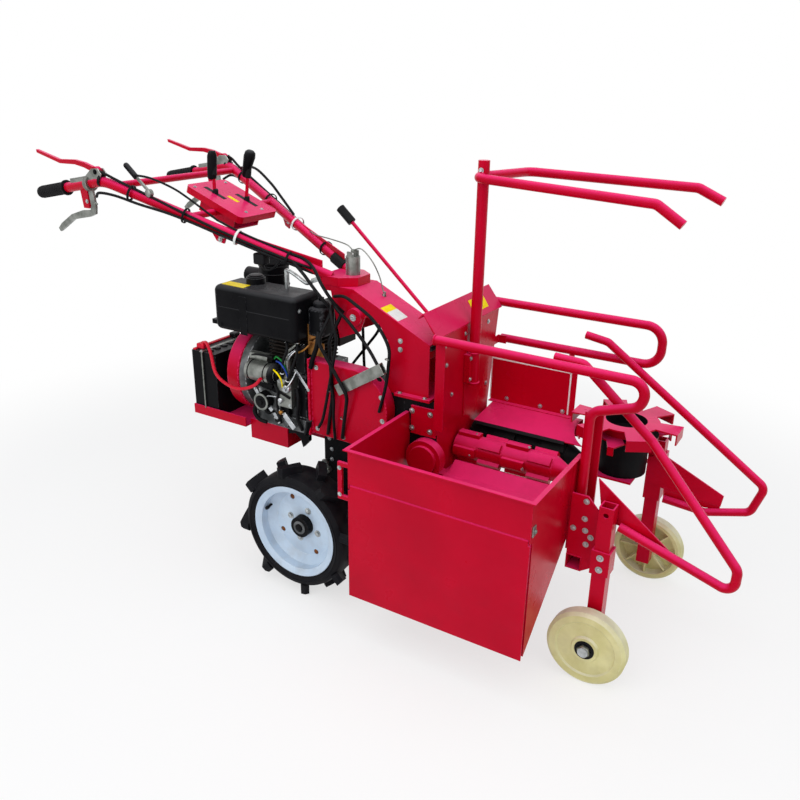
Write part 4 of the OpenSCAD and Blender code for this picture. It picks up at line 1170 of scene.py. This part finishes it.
    def make_linkage(self) -> None:
        """Makes the bright governor rods, levers, pump fittings and injector pipes."""
        rods = Shape("governor_linkage", STEEL)
        for start, end, width, thick in (
            ((-97, -115, 613), (-52, -115, 562), 9, 4), ((-246, -122, 530), (-214, -122, 486), 12, 6),
            ((-205, -124, 496), (-182, -124, 472), 13, 6), ((-174, -126, 468), (-154, -126, 440), 11, 6),
            ((-137, -128, 475), (-98, -128, 436), 17, 7),
        ):
            rods.bar(start, end, width, thick)
        for base, profile, sides in (
            ((-168, -104, 604), [(11, 0), (11, 20), (8, 24), (0, 24)], 18),
            ((-114, -132, 560), [(13, 0), (13, 7), (10, 10), (5, 10), (5, 16), (0, 16)], 18),
            ((-138, -132, 520), [(9, 0), (9, 6), (6, 9), (0, 9)], 6),
        ):
            rods.turned(base, RIGHT, profile, sides)
        for path, radius in (
            ([(-114, -146, 560), (-98, -140, 580), (-95, -114, 609)], 2.4),
            ([(-205, -122, 496), (-190, -134, 520), (-152, -136, 528)], 2.2),
            ([(-125, -114, 584), (-125, -118, 622), (-112, -112, 655), (-92, -92, 676), (-84, -70, 690)], 3.2),
            ([(-138, -112, 584), (-140, -120, 616), (-128, -118, 646), (-108, -96, 668), (-98, -72, 684)], 3.2),
        ):
            rods.tube(path, radius)
        rods.done()
        self.bolts.add(BOLT, RIGHT, 3.0, (-96, -115, 612), (-53, -115, 563), (-137, -128, 475),
                       (-245, -122, 528), (-215, -122, 488))
        crank = Shape("decompression_rod", BOLT)
        crank.tube([(x, -65, z) for x, z in (
            (-157, 830), (-157, 868), (-154, 884), (-124, 874), (-92, 858), (-78, 858), (-60, 868))], 5.4, 12)
        crank.bar((-66, -69, 866), (-40, -69, 876), 13, 8)
        crank.done()
        brass = Shape("pipe_unions", GOLD)
        brass.turned((-125, -114, 580), UP, [(8, 0), (8, 9), (5, 12), (5, 18), (0, 18)], 6)
        brass.turned((-138, -112, 580), UP, [(7, 0), (7, 8), (5, 11), (0, 11)], 6)
        brass.turned((-141, -130, 480), RIGHT, [(7, 0), (7, 5), (4, 8), (0, 8)], 6)
        brass.tube([(-62, -60, 700), (-52, -104, 694), (-70, -112, 676), (-96, -112, 664)], 3.0)
        brass.done()

    def make_wires(self) -> None:
        """Makes the starter's coloured wires and the black loom."""
        for finish, path in (
            (GREEN, [(-160, -128, 640), (-142, -140, 652), (-124, -138, 640), (-118, -126, 606)]),
            (BLUE, [(-152, -130, 634), (-128, -142, 636), (-114, -136, 612), (-116, -124, 586)]),
            (YELLOW, [(-158, -138, 610), (-136, -148, 606), (-124, -146, 588), (-130, -134, 560)]),
        ):
            wire = Shape(f"{finish.name}_loop", finish)
            wire.tube(path, 2.4, 8)
            wire.done()
        loom = Shape("engine_loom", RUBBER)
        loom.tube([(-160, -134, 566), (-146, -136, 540), (-156, -130, 500), (-150, -122, 440)], 4, 8)
        loom.tube([(-92, -118, 560), (-84, -122, 530), (-90, -120, 470), (-80, -112, 430)], 5, 8)
        loom.tube([(-240, -108, 600), (-252, -122, 628), (-226, -126, 640), (-170, -124, 640)], 3, 8)
        loom.done()

    def make_hoses(self) -> None:
        """Makes the fuel hoses with their pale clips and the small dark fittings on the right side."""
        hoses, clips = Shape("fuel_hoses", RUBBER), Shape("hose_clips", PALE)
        for path in (
            [(-120, -120, 704), (-112, -130, 672), (-122, -138, 640), (-130, -134, 592)],
            [(-90, -110, 704), (-82, -126, 664), (-94, -134, 622), (-112, -140, 574)],
            [(-178, -112, 452), (-160, -130, 446), (-146, -132, 462), (-142, -128, 492)],
        ):
            hoses.tube(path, 4.2, 10)
            for place, towards in ((path[0], path[1]), (path[-1], path[-2])):
                axis = Vector(towards) - Vector(place)
                clips.ring(tuple(Vector(place) + axis * 0.25), tuple(axis), 5.2, 1.3, 20)
        hoses.done()
        clips.done()
        dark = Shape("engine_fittings", BLACK)
        dark.block((-152, -124, 466), (-120, -103, 498), 4)
        dark.turned((-207, -104, 466), RIGHT, [(15, 0), (15, 8), (11, 13), (5, 13), (5, 18), (0, 18)], 20)
        dark.prism([(-96, -100, 610), (-64, -100, 606), (-64, -100, 690), (-96, -100, 684)], (0, -12, 0), 3)
        dark.tube([(-244, -112, 486), (-250, -124, 458), (-232, -126, 436), (-206, -122, 430)], 6, 10)
        dark.bar((-236, -126, 566), (-176, -126, 548), 14, 5)
        dark.done()

    def make_left_cover(self) -> None:
        """Makes the crankcase cover of the left side, with its ribbed boss and its bolts."""
        y = self.left
        cover = Shape("crankcase_cover_left", ALLOY)
        cover.prism(
            [(-246, y, 440), (-84, y, 440), (-70, y, 462), (-70, y, 580), (-96, y, 597), (-246, y, 597)],
            (0, 8, 0), 2.5,
        )
        cover.turned((-158, 101, 516), LEFT, [(48, 0), (48, 4), (40, 9), (22, 11), (20, 7), (0, 7)])
        cover.ribs((-158, 101, 516), 50, 66)
        cover.done()
        self.bolts.add(BOLT, LEFT, 4.2, *((x, y + 8, z) for x, z in (
            (-238, 448), (-160, 448), (-90, 448), (-78, 520), (-100, 590), (-170, 590), (-238, 590), (-238, 520))))
        self.bolts.add(BOLT, LEFT, 4.2, (-22, 60, 400), (-14, 60, 367), (-14, 60, 334), (60, 60, 330), (60, 60, 380))

    def make_gear_case(self) -> None:
        """Makes the gear case's ribbed cover and bearing caps on the left, and the oil filler."""
        case = Shape("gear_case_cover", BLACK)
        case.prism([(x, 59, z) for x, z in (
            (28, 462), (196, 458), (220, 480), (220, 556), (194, 582), (44, 582), (28, 566))], (0, 8, 0), 2.5)
        case.turned((122, 66, 520), LEFT, [(42, 0), (42, 5), (36, 9), (18, 11), (16, 6), (0, 6)])
        case.ribs((122, 67, 520), 40, 56, 0.5)
        case.turned((282, 74, 548), LEFT, [(30, 0), (30, 5), (25, 8), (12, 9), (0, 9)])
        case.turned((302, 204, 438), LEFT, [(26, 0), (26, 5), (20, 8), (8, 9), (0, 9)])
        case.done()
        self.bolts.add(BOLT, LEFT, 4.0, *((x, 67, z) for x, z in (
            (40, 472), (122, 468), (192, 470), (210, 520), (192, 572), (122, 573), (50, 572), (40, 520))))
        filler = Shape("oil_filler", PLASTIC)
        filler.turned((-214, 98, 470), (0, 1, 0.5), [(13, 0), (13, 10), (17, 11), (17, 19), (14, 22), (0, 22)], 20)
        filler.done()

    def make_tank_trim(self) -> None:
        """Makes the tank's seam, cap rings, strap, blank yellow patch and screws."""
        seam = Shape("tank_seam", PLASTIC)
        for y in (-149, -27):
            seam.tube([(-343, y, 770), (-84, y, 770)], 2.2, 8)
        for radius, lift in ((24.0, 0.0), (20.0, 4.0)):
            seam.turned((-267, -68, 849 + lift), UP, [(radius, 0), (radius, 4), (radius - 2, 5), (0, 5)], 32)
        seam.prism([(-262, -150, 700), (-236, -150, 700), (-236, -150, 812), (-262, -150, 812)], (0, -1.2, 0), 0.4)
        seam.done()
        patch = Shape("tank_patch", YELLOW)
        patch.prism([(-343, -130, 832), (-258, -134, 832), (-262, -98, 832), (-346, -94, 832)], (0, 0, 0.5), 0)
        patch.done()
        self.bolts.add(BOLT, FRONT, 4.0, (-65, -128, 794), (-65, -50, 794))
        self.bolts.add(BLACK, RIGHT, 4.0, (-335, -149.8, 718))

    def make_filter_trim(self) -> None:
        """Makes the air filter's rings and wing nut."""
        x, y = -340, 100
        rings = Shape("air_filter_trim", PLASTIC)
        for z in (786.0, 822.0, 846.0):
            rings.ring((x, y, z), UP, 46.0, 2.2)
        rings.done()
        wing = Shape("air_filter_wing_nut", ZINC)
        wing.turned((x, y, 890), UP, [(7, 0), (6, 8), (3, 8), (3, 16), (0, 16)], 12)
        wing.bar((x - 12, y - 2, 897), (x + 12, y - 2, 897), 8, 4)
        wing.done()

    def make_battery_trim(self) -> None:
        """Makes the battery's clamp bar, tie rods, terminal covers and cell caps."""
        red = Shape("terminal_covers", RED_RUBBER)
        red.block((-474, -121, 612), (-444, -93, 628), 4)
        red.prism([(-482, -128, 608), (-470, -128, 608), (-470, 55, 608), (-482, 55, 608)], (0, 0, 5), 1.5)
        red.done()
        black = Shape("battery_caps", PLASTIC)
        for k in range(6):
            black.turned((-425, -110 + 30 * k, 607), UP, [(10, 0), (10, 4), (8, 6), (0, 6)], 16)
        black.block((-472, 22, 612), (-446, 48, 626), 4)
        black.prism([(x, -128.5, z) for x, z in ((-392, 470), (-388, 470), (-388, 600), (-392, 600))],
                    (0, -2, 0), 0.5)
        black.done()
        rod = Shape("battery_tie_rods", ZINC)
        for y in (-133.5, 63.5):
            rod.tube([(-440, y, 428), (-440, y, 614)], 2.6, 8)
        rod.prism([(-446, -137, 609), (-434, -137, 609), (-434, 67, 609), (-446, 67, 609)], (0, 0, 3), 0.8)
        rod.done()
        self.bolts.add(BOLT, UP, 3.6, (-440, -133.5, 612), (-440, 63.5, 612))


@dataclass
class Steering:
    """Dress of the arch and handlebar: cables, ties, throttle, clamps, panel screws and blank patches."""

    bolts: Fasteners
    # Where the right bar starts at the swivel and where it bends into the grip
    start: Point = (-15.0, -44.0, 880.5)
    bend: Point = (-641.0, -256.0, 1108.0)
    grip_rise: float = 0.19
    # The shift panel's front edge and its slope in degrees
    panel: tuple[float, float] = (-300.0, 1012.0)
    panel_slope: float = 20.3

    def on_bar(self, x: float, side: int, out: float, up: float) -> Point:
        """Gives a place beside a bar.

        Args:
            x: The place's distance forward.
            side: -1 for the right bar and 1 for the left one.
            out: How far it lies outside the bar's middle.
            up: How far it lies over the bar's middle.

        Returns:
            The place.
        """
        share = (x - self.start[0]) / (self.bend[0] - self.start[0])
        y = self.start[1] + (self.bend[1] - self.start[1]) * share
        z = self.start[2] + (self.bend[2] - self.start[2]) * share
        return (x, side * (abs(y) + out), z + up)

    def build(self) -> None:
        """Makes the steering's pieces."""
        self.make_bar_cables()
        self.make_ties()
        self.make_bar_trim()
        self.make_swivel_cables()
        self.make_cable_loops()
        self.make_grip_fittings()
        self.make_panel_trim()
        self.make_arch_trim()

    def make_bar_cables(self) -> None:
        """Makes the control cables along both bars, with the junction box on the right one."""
        cables = Shape("bar_cables", RUBBER, Body.HANDLEBAR)
        for side in (-1, 1):
            upper = [(-668, side * 258, 1134), (-640, side * 262, 1133)]
            upper += [self.on_bar(x, side, out, up) for x, out, up in (
                (-590, 6, 20), (-500, 9, 15), (-400, 14, 9), (-300, 17, 4), (-200, 17, 2), (-100, 17, 4),
                (-62, 12, 4))]
            lower = [(-676, side * 258, 1062), (-650, side * 268, 1076)]
            lower += [self.on_bar(x, side, out, up) for x, out, up in (
                (-600, 14, -22), (-530, 18, -16), (-450, 19, -7), (-380, 19, -5), (-300, 19, -6), (-200, 19, -6),
                (-110, 18, -5), (-60, 10, -8))]
            for path in (upper, lower):
                cables.tube(path, 4.0, 8)
        middle = self.on_bar(-330, -1, -8, 20)
        for path, radius in (
            ([self.on_bar(-575, 1, 4, 24), (-456, 168, 1120), (-383, 152, 1083), (-342, 148, 1047),
              self.on_bar(-285, 1, 2, 20)], 4.0),
            ([(-548, -226, 1128), (-500, -214, 1122), (-440, -196, 1100), (-400, -176, 1072), middle], 3.2),
            ([middle, self.on_bar(-240, -1, 4, 18), self.on_bar(-120, -1, 4, 18)], 3.2),
        ):
            cables.tube(path, radius, 8)
        cables.block((-226, -124, 902), (-188, -94, 934), 5)
        cables.tube([(-207, -109, 904), (-196, -106, 886), (-176, -98, 892), (-150, -92, 918)], 3.5, 8)
        cables.done(node="handlebar_cables")

    def make_ties(self) -> None:
        """Makes the white and black ties that hold the cables to the bars."""
        way = Vector(self.bend) - Vector(self.start)
        for name, finish, places in (("white_tie", PALE, (-268,)), ("cable_ties", RUBBER, (-560, -410, -130))):
            ties = Shape(name, finish, Body.HANDLEBAR)
            for side in (-1, 1):
                axis = (way.x, side * abs(way.y), way.z)
                for x in places:
                    for shift in (-2.0, 0.0, 2.0):
                        ties.ring(self.on_bar(x + shift, side, 4, 1), axis, 20.5, 1.4, 28)
            ties.done()

    def make_bar_trim(self) -> None:
        """Makes the bars' sleeves, bolted tabs and gusset webs."""
        sleeve = Shape("bar_sleeve", RUBBER, Body.HANDLEBAR)
        sleeve.tube([self.on_bar(-84, 1, 0, 0), self.on_bar(-34, 1, 0, 0)], 17.5, 24)
        tabs = Shape("bar_tabs", RED, Body.HANDLEBAR)
        webs = Shape("bar_webs", RED, Body.HANDLEBAR)
        for side in (-1, 1):
            sleeve.tube([self.on_bar(-652, side, 0, -2), self.on_bar(-646, side, 0, -1)], 16.5, 24)
            tabs.prism([self.on_bar(x, side, -3, up) for x, up in (
                (-345, -8), (-300, -8), (-308, -34), (-328, -34))], (0, side * 6, 0), 0.8)
            self.bolts.add(BOLT, (0, side, 0), 5.0, self.on_bar(-318, side, 3, -26), body=Body.HANDLEBAR)
            webs.prism([self.on_bar(x, side, -2, up) for x, up in (
                (-40, 8), (-330, 9), (-150, 24), (-40, 34))], (0, side * 4, 0), 0.8)
        for piece in (sleeve, tabs, webs):
            piece.done()

    def make_swivel_cables(self) -> None:
        """Makes the curved cables that cross the swivel from the handlebar to the arch, riding on neither body, and
        their stops.
        """
        for name, path, radius, finish in (
            ("swivel_cable_front", [self.on_bar(-124, -1, 4, 18), self.on_bar(-84, -1, 6, 19), (-44, -86, 906),
                                    (-6, -104, 872), (24, -96, 828), (40, -72, 796)], 4.6, RUBBER),
            ("swivel_cable_rear", [self.on_bar(-110, -1, 17, 4), (-66, -102, 890), (-24, -110, 856),
                                   (0, -98, 822), (10, -78, 796)], 4.6, RUBBER),
            ("brake_cable", [(25, 0, 950), (52, 2, 956), (84, 6, 926), (106, 10, 884), (118, 12, 840)], 1.8, ZINC),
        ):
            cable = Shape(name, finish, Body.HANDLEBAR)
            cable.tube(path, radius, 8)
            cable.done((path[1], path[-1]))
        wire = Shape("post_cable", ZINC, Body.HANDLEBAR)
        wire.tube([self.on_bar(-205, 1, 0, 14), (-150, 70, 962), (-70, 28, 966), (0, 6, 962), (25, 0, 950)], 1.8, 8)
        wire.turned((25, 0, 944), UP, [(6, 0), (6, 6), (4, 9), (0, 9)], 12)
        wire.done()
        stop = Shape("cable_stop", ZINC)
        stop.turned((118, 12, 832), (0.25, 0.0, 1.0), [(6, 0), (6, 6), (4, 8), (4, 14), (0, 14)], 12)
        stop.done()

    def make_cable_loops(self) -> None:
        """Makes the cables that hang in loops beside the arch, and their clips."""
        loops = Shape("cable_loops", RUBBER)
        for path, radius in (
            ([(14, -74, 836), (60, -94, 846), (103, -100, 831), (161, -100, 795), (204, -100, 735),
              (206, -102, 680), (200, -106, 620), (184, -112, 548)], 4.6),
            ([(8, -78, 826), (40, -98, 808), (78, -100, 781), (142, -106, 724), (185, -116, 677),
              (196, -116, 655)], 4.6),
            ([(6, -76, 812), (28, -112, 806), (44, -126, 780), (57, -128, 732), (42, -128, 650),
              (26, -126, 580), (4, -124, 492), (-16, -118, 458)], 4.6),
            ([(35, -128, 600), (42, -124, 560), (38, -120, 500), (36, -112, 430)], 4.2),
            ([(-40, 66, 570), (-20, 66, 600), (30, 66, 664), (71, 62, 720), (80, 52, 770)], 4.4),
            ([(13, 62, 760), (13, 66, 700), (15, 66, 640), (16, 70, 560)], 4.4),
        ):
            loops.tube(path, radius, 8)
        loops.done()
        clips = Shape("cable_clips", ZINC)
        for place, axis in (
            ((26, -122, 580), (0.2, 0, 1)), ((203, -102, 700), UP), ((60, -108, 500), (0.4, 0, 1)),
        ):
            clips.ring(place, axis, 6.0, 1.6, 20)
        clips.done()

    def make_grip_fittings(self) -> None:
        """Makes the lever brackets, the throttle, the bars' clamp bolts and the grips' ribs."""
        grip_y = abs(self.bend[1])
        steel = Shape("lever_brackets", ZINC, Body.HANDLEBAR)
        for side in (-1, 1):
            for y in (side * 256 - 10.5, side * 256 + 7.5):
                steel.prism([(x, y, z) for x, z in (
                    (-772, 1094), (-700, 1102), (-644, 1112), (-636, 1128), (-648, 1142), (-676, 1140), (-704, 1118),
                    (-772, 1106))], (0, 3, 0), 0.8)
            steel.tube([(x, side * 256, z) for x, z in ((-690, 1072), (-694, 1052), (-680, 1040))], 3.4, 8)
            self.bolts.add(BLACK, (0, side, 0), 4.3, (-660, side * 266.5, 1132), body=Body.HANDLEBAR)
            self.bolts.add(BOLT, (0, side, 0), 3.6, (-716, side * 260.5, 1046), body=Body.HANDLEBAR)
        steel.bar((-500, -222, 1084), (-556, -222, 1128), 9, 4)
        steel.turned((-503, -214, 1082), RIGHT, [(11, 0), (11, 12), (8, 14), (0, 14)], 18)
        steel.done()
        knob = Shape("throttle_knob", PLASTIC, Body.HANDLEBAR)
        knob.tube([(-548, -220, 1121), (-584, -220, 1151)], 8, 16)
        knob.turned((-584, -220, 1151), (-0.77, 0, 0.64), [(8, 0), (7, 4), (4, 6.5), (0, 7)], 16)
        knob.done()
        ribs = Shape("grip_ribs", RUBBER, Body.HANDLEBAR)
        for side in (-1, 1):
            self.bolts.add(BOLT, DOWN, 5.3, self.on_bar(-310, side, 0, -15), body=Body.HANDLEBAR)
            for x in range(-815, -919, -8):
                rise = self.bend[2] + (x - self.bend[0]) * self.grip_rise
                ribs.ring((x, side * grip_y, rise), (1, 0, self.grip_rise), 16.6, 1.7, 24)
        ribs.done()

    def make_panel_trim(self) -> None:
        """Makes the shift panel's screws, slot seals, blank patch and stick knobs."""
        slope = math.radians(self.panel_slope)
        ahead, up = (-math.cos(slope), math.sin(slope)), (math.sin(slope), math.cos(slope))
        facing = (up[0], 0, up[1])

        def spot(along: float, y: float, over: float) -> Point:
            """Gives a place on the panel from its front edge, its middle and its top."""
            x, z = self.panel
            return (x + along * ahead[0] + over * up[0], y, z + along * ahead[1] + over * up[1])

        self.bolts.add(BOLT, facing, 3.3, *(
            spot(d, y, 4) for d, y in ((24, -34), (24, 34), (198, -64), (198, 64))), body=Body.HANDLEBAR)
        seals = Shape("slot_seals", RUBBER, Body.HANDLEBAR)
        for y, along in ((-30, 150), (35, 85)):
            corners = [spot(along + d, y + w, 3.2) for d, w in ((-41, -7.5), (41, -7.5), (41, 7.5), (-41, 7.5))]
            seals.prism(corners, tuple(c * 1.2 for c in facing), 0.4)
            seals.turned(spot(along, y, 4), facing, [(9, 0), (9, 3), (7.5, 6), (8, 8), (6.5, 12), (0, 12.5)], 18)
        seals.done()
        patch = Shape("panel_patch", YELLOW, Body.HANDLEBAR)
        patch.prism([spot(d, y, 4.05) for d, y in ((82, -10), (122, -10), (122, 2), (82, 2))],
                    tuple(c * 0.5 for c in facing), 0)
        patch.done()
        knobs = Shape("stick_knobs", PLASTIC, Body.HANDLEBAR)
        knobs.turned((-448, -30, 1106), (7, 0, 75), [(9, 0), (13, 4), (14, 30), (14, 66), (11, 76), (0, 78)], 20)
        knobs.turned((-379, 35, 1112), (25, 0, 70),
                     [(8, 0), (10, 3), (14, 34), (17, 62), (15, 74), (10, 79), (0, 80)], 20)
        knobs.done()

    def make_arch_trim(self) -> None:
        """Makes the arch's bolts, its blank two-coloured patch, the column's cap and the brake arm."""
        fall = 115 / 241

        def slope(x: float, y: float) -> Point:
            """Gives a place on the arch's slope."""
            return (x, y, 860 - (x - 65) * fall + 0.2)

        for name, finish, x0, x1 in (("patch_yellow", YELLOW, 150, 170), ("patch_white", PALE, 170, 206)):
            patch = Shape(name, finish)
            patch.prism([slope(x0, -54), slope(x1, -56), slope(x1, -6), slope(x0, -4)], (0.2, 0, 0.45), 0)
            patch.done()
        self.bolts.add(BOLT, RIGHT, 4.3, (217, -60, 742), (217, -60, 718))
        self.bolts.add(BOLT, RIGHT, 5.9, (75, -74, 786))
        self.bolts.add(BOLT, UP, 4.3, *((x, y, 598) for x in (222, 300) for y in (-68, 68)))
        self.bolts.add(BOLT, RIGHT, 4.3, *((x, -105, z) for x, z in (
            (-30, 632), (-30, 446), (60, 440), (140, 458), (190, 520), (186, 588), (120, 636))))
        self.bolts.add(BOLT, RIGHT, 4.0, *((x, -60, z) for x, z in (
            (-22, 400), (-14, 367), (-14, 334), (60, 330), (60, 380))))
        self.bolts.add(BLACK, (0.53, 0, 0.85), 4.6, (190, -121, 646))
        cap = Shape("column_cap", PLASTIC)
        cap.block((300, -58, 728), (310, 58, 742), 2)
        cap.done()
        arm = Shape("brake_arm", ZINC)
        arm.bar((-38, -70, 330), (-24, -70, 296), 16, 8)
        arm.turned((-24, -60, 300), RIGHT, [(10, 0), (10, 14), (7, 17), (0, 17)], 18)
        arm.done()


@dataclass
class Header:
    """Dress of the picking header: sheet bolts, roll bolts, apron, blank patch, painted light along the shield's gaps
    and weld beads.
    """

    bolts: Fasteners
    # The two rolls' axes, in Y and Z, and the radius of their pads
    roll_y: tuple[float, float] = (54.5, 151.5)
    roll_z: float = 432.0
    roll_r: float = 45.0
    roll_turn: float = -96.0
    # The side shield's face and its frame's ends, in X and Z
    shield_y: float = 246.6
    shield_x: tuple[float, float] = (344.0, 588.5)
    shield_z: tuple[float, float] = (508.0, 635.0)

    def accents(self) -> dict[str, list[Accent]]:
        """Gives the dark inside of the gathering wheel's cup."""
        return {"gathering_wheel": [Accent(BLACK, (762, 218, 523), UP, 56.5, 22.0)]}

    def build(self) -> None:
        """Makes the header's pieces."""
        self.set_bolts()
        self.set_roll_bolts()
        self.make_apron()
        self.make_wall_trim()
        self.make_welds()

    def set_bolts(self) -> None:
        """Sets the bolts of the sheets, the mast, the legs and the coupling plate."""
        self.bolts.add(BOLT, FRONT, 4.3, (341, -44, 743), (341, -29, 689), (341, 6, 596), (338, 78, 748),
                       (338, 220, 748), (338, 226, 560))
        self.bolts.add(BOLT, FRONT, 4.0, *((358, y, z) for y in (79, 121) for z in (620, 680)))
        self.bolts.add(BOLT, RIGHT, 4.0, (399, 247, 517), (504, 247, 516), (572, 247, 515))
        self.bolts.add(BOLT, RIGHT, 4.3, (358, 85, 1176))
        self.bolts.add(BOLT, RIGHT, 4.6, *((x, -128, z) for x, z in (
            (782, 462), (782, 415), (786, 384), (801, 369), (791, 347), (756, 383))))
        self.bolts.add(BOLT, RIGHT, 5.3, (837, -155, 306), (837, -155, 338))
        self.bolts.add(BOLT, LEFT, 5.3, (837, 341, 330), (837, 341, 400))
        self.bolts.add(BOLT, RIGHT, 5.0, *((x, -68, z) for x, z in ((262, 556), (318, 556), (318, 506), (262, 506))))

    def set_roll_bolts(self) -> None:
        """Sets bolts on the pads of both snapping rolls."""
        sit = self.roll_r - 1.5
        for y, body, finish in (
            (self.roll_y[0], Body.ROLL_RIGHT, BOLT), (self.roll_y[1], Body.ROLL_LEFT, BLACK),
        ):
            for k in range(4):
                turn = math.radians(self.roll_turn + 90.0 * k)
                out = (0, math.sin(turn), math.cos(turn))
                self.bolts.add(finish, out, 3.3, *(
                    (x, y + out[1] * sit, self.roll_z + out[2] * sit) for x in (402, 557)), body=body)

    def make_apron(self) -> None:
        """Makes the sheet between the bin's floor and the roll, and pale strips of painted light about the side
        shield, the bright backdrop seen through its gaps.
        """
        apron = Shape("roll_apron", RED)
        apron.prism([(366, -66, 375), (690, -66, 375), (690, -4, 410), (366, -4, 410)], (0, 0, 2), 0.4)
        apron.prism([(366, 50, 322), (690, 50, 322), (690, 50, 383), (366, 50, 383)], (0, 3, 0), 0.6)
        apron.done()
        # Pale strips painted where the backdrop shows through the gaps about the shield: painted light, not a pale
        # edge of the part
        edge = Shape("shield_gap_painted_light", PALE)
        (x0, x1), (z0, z1), y = self.shield_x, self.shield_z, self.shield_y
        for left, right, low in ((x0 + 2, x1 - 0.5, z1 - 4), (x1 - 4, x1, z0), (x0, x0 + 3.5, z0)):
            edge.prism([(left, y, low), (right, y, low), (right, y, z1), (left, y, z1)], (0, 3, 0), 0.5)
        edge.done()

    def make_wall_trim(self) -> None:
        """Makes the hood's blank yellow patch, the cover's black edge strip and the wall's folds."""
        fall = -58 / 43

        def hood(x: float, y: float) -> Point:
            """Gives a place on the hood's slope."""
            return (x + 2.4, y, 772 + (x - 338) * fall + 3.0)

        patch = Shape("hood_patch", YELLOW)
        patch.prism([hood(305, 146), hood(328, 142), hood(328, 232), hood(305, 236)], (0.5, 0, 0.4), 0)
        patch.done()
        strip = Shape("cover_edge_strip", RUBBER)
        strip.prism([(362, 109, 480), (362, 112.5, 488), (632, 112.5, 488), (632, 109, 480)], (0, -3, 0.5), 0.6)
        strip.done()
        fold = Shape("wall_folds", RED)
        fold.tube([(339, 84, 505), (339, 84, 768)], 2.0, 8)
        fold.tube([(337.5, -78, 773), (337.5, 288, 773)], 2.2, 8)
        fold.done()

    def make_welds(self) -> None:
        """Makes the weld beads where tubes meet plates and each other."""
        weld = Shape("weld_beads", RED)
        for middle, axis, radius, thick in (
            ((358, 100, 692), UP, 15.5, 2.6), ((358, 100, 606), UP, 15.5, 2.6), ((358, 85, 1159), LEFT, 11.0, 3.2),
            ((757, -92.3, 315), UP, 12.5, 2.6), ((340, -92.3, 776), FRONT, 12.5, 2.6),
            ((561, 314.3, 466), UP, 8.5, 2.4),
        ):
            weld.ring(middle, axis, radius, thick)
        weld.done()


@dataclass
class EarBin:
    """Dress of the ear bin: its corner hook, latch and rim bead."""

    bolts: Fasteners
    hook_y: float = -338.0
    rim_y: float = -361.5

    def build(self) -> None:
        """Makes the bin's pieces."""
        hook = Shape("bin_hook", RED)
        hook.prism([(x, self.hook_y, z) for x, z in (
            (250, 500), (206, 500), (206, 396), (250, 396), (250, 408), (219, 408), (219, 488), (250, 488))],
            (0, 9, 0), 1.5)
        hook.done()
        self.bolts.add(BOLT, RIGHT, 3.6, (212.5, self.hook_y, 484), (212.5, self.hook_y, 410))
        latch = Shape("bin_latch", ZINC)
        latch.block((734.5, -349, 460), (738, -331, 486), 1)
        latch.turned((738, -340, 473), FRONT, [(5, 0), (5, 3), (3, 5), (0, 5)], 14)
        latch.done()
        rim = Shape("bin_rim_bead", RED)
        rim.tube([(252, self.rim_y, 550), (733, self.rim_y, 550)], 1.6, 8)
        rim.done()


def main() -> None:
    """Builds the scene piece by piece."""
    logging.basicConfig(level=logging.INFO, format="%(name)s: %(message)s")
    Studio().build()
    bolts = Fasteners()
    gauges, engine, header = GaugeWheels(), Engine(bolts), Header(bolts)
    CadDressing(accents={**gauges.accents(), **engine.accents(), **header.accents()}).build()
    for assembly in (DriveWheels(bolts), gauges, engine, Steering(bolts), header, EarBin(bolts), bolts):
        assembly.build()


if __name__ == "__main__":
    main()
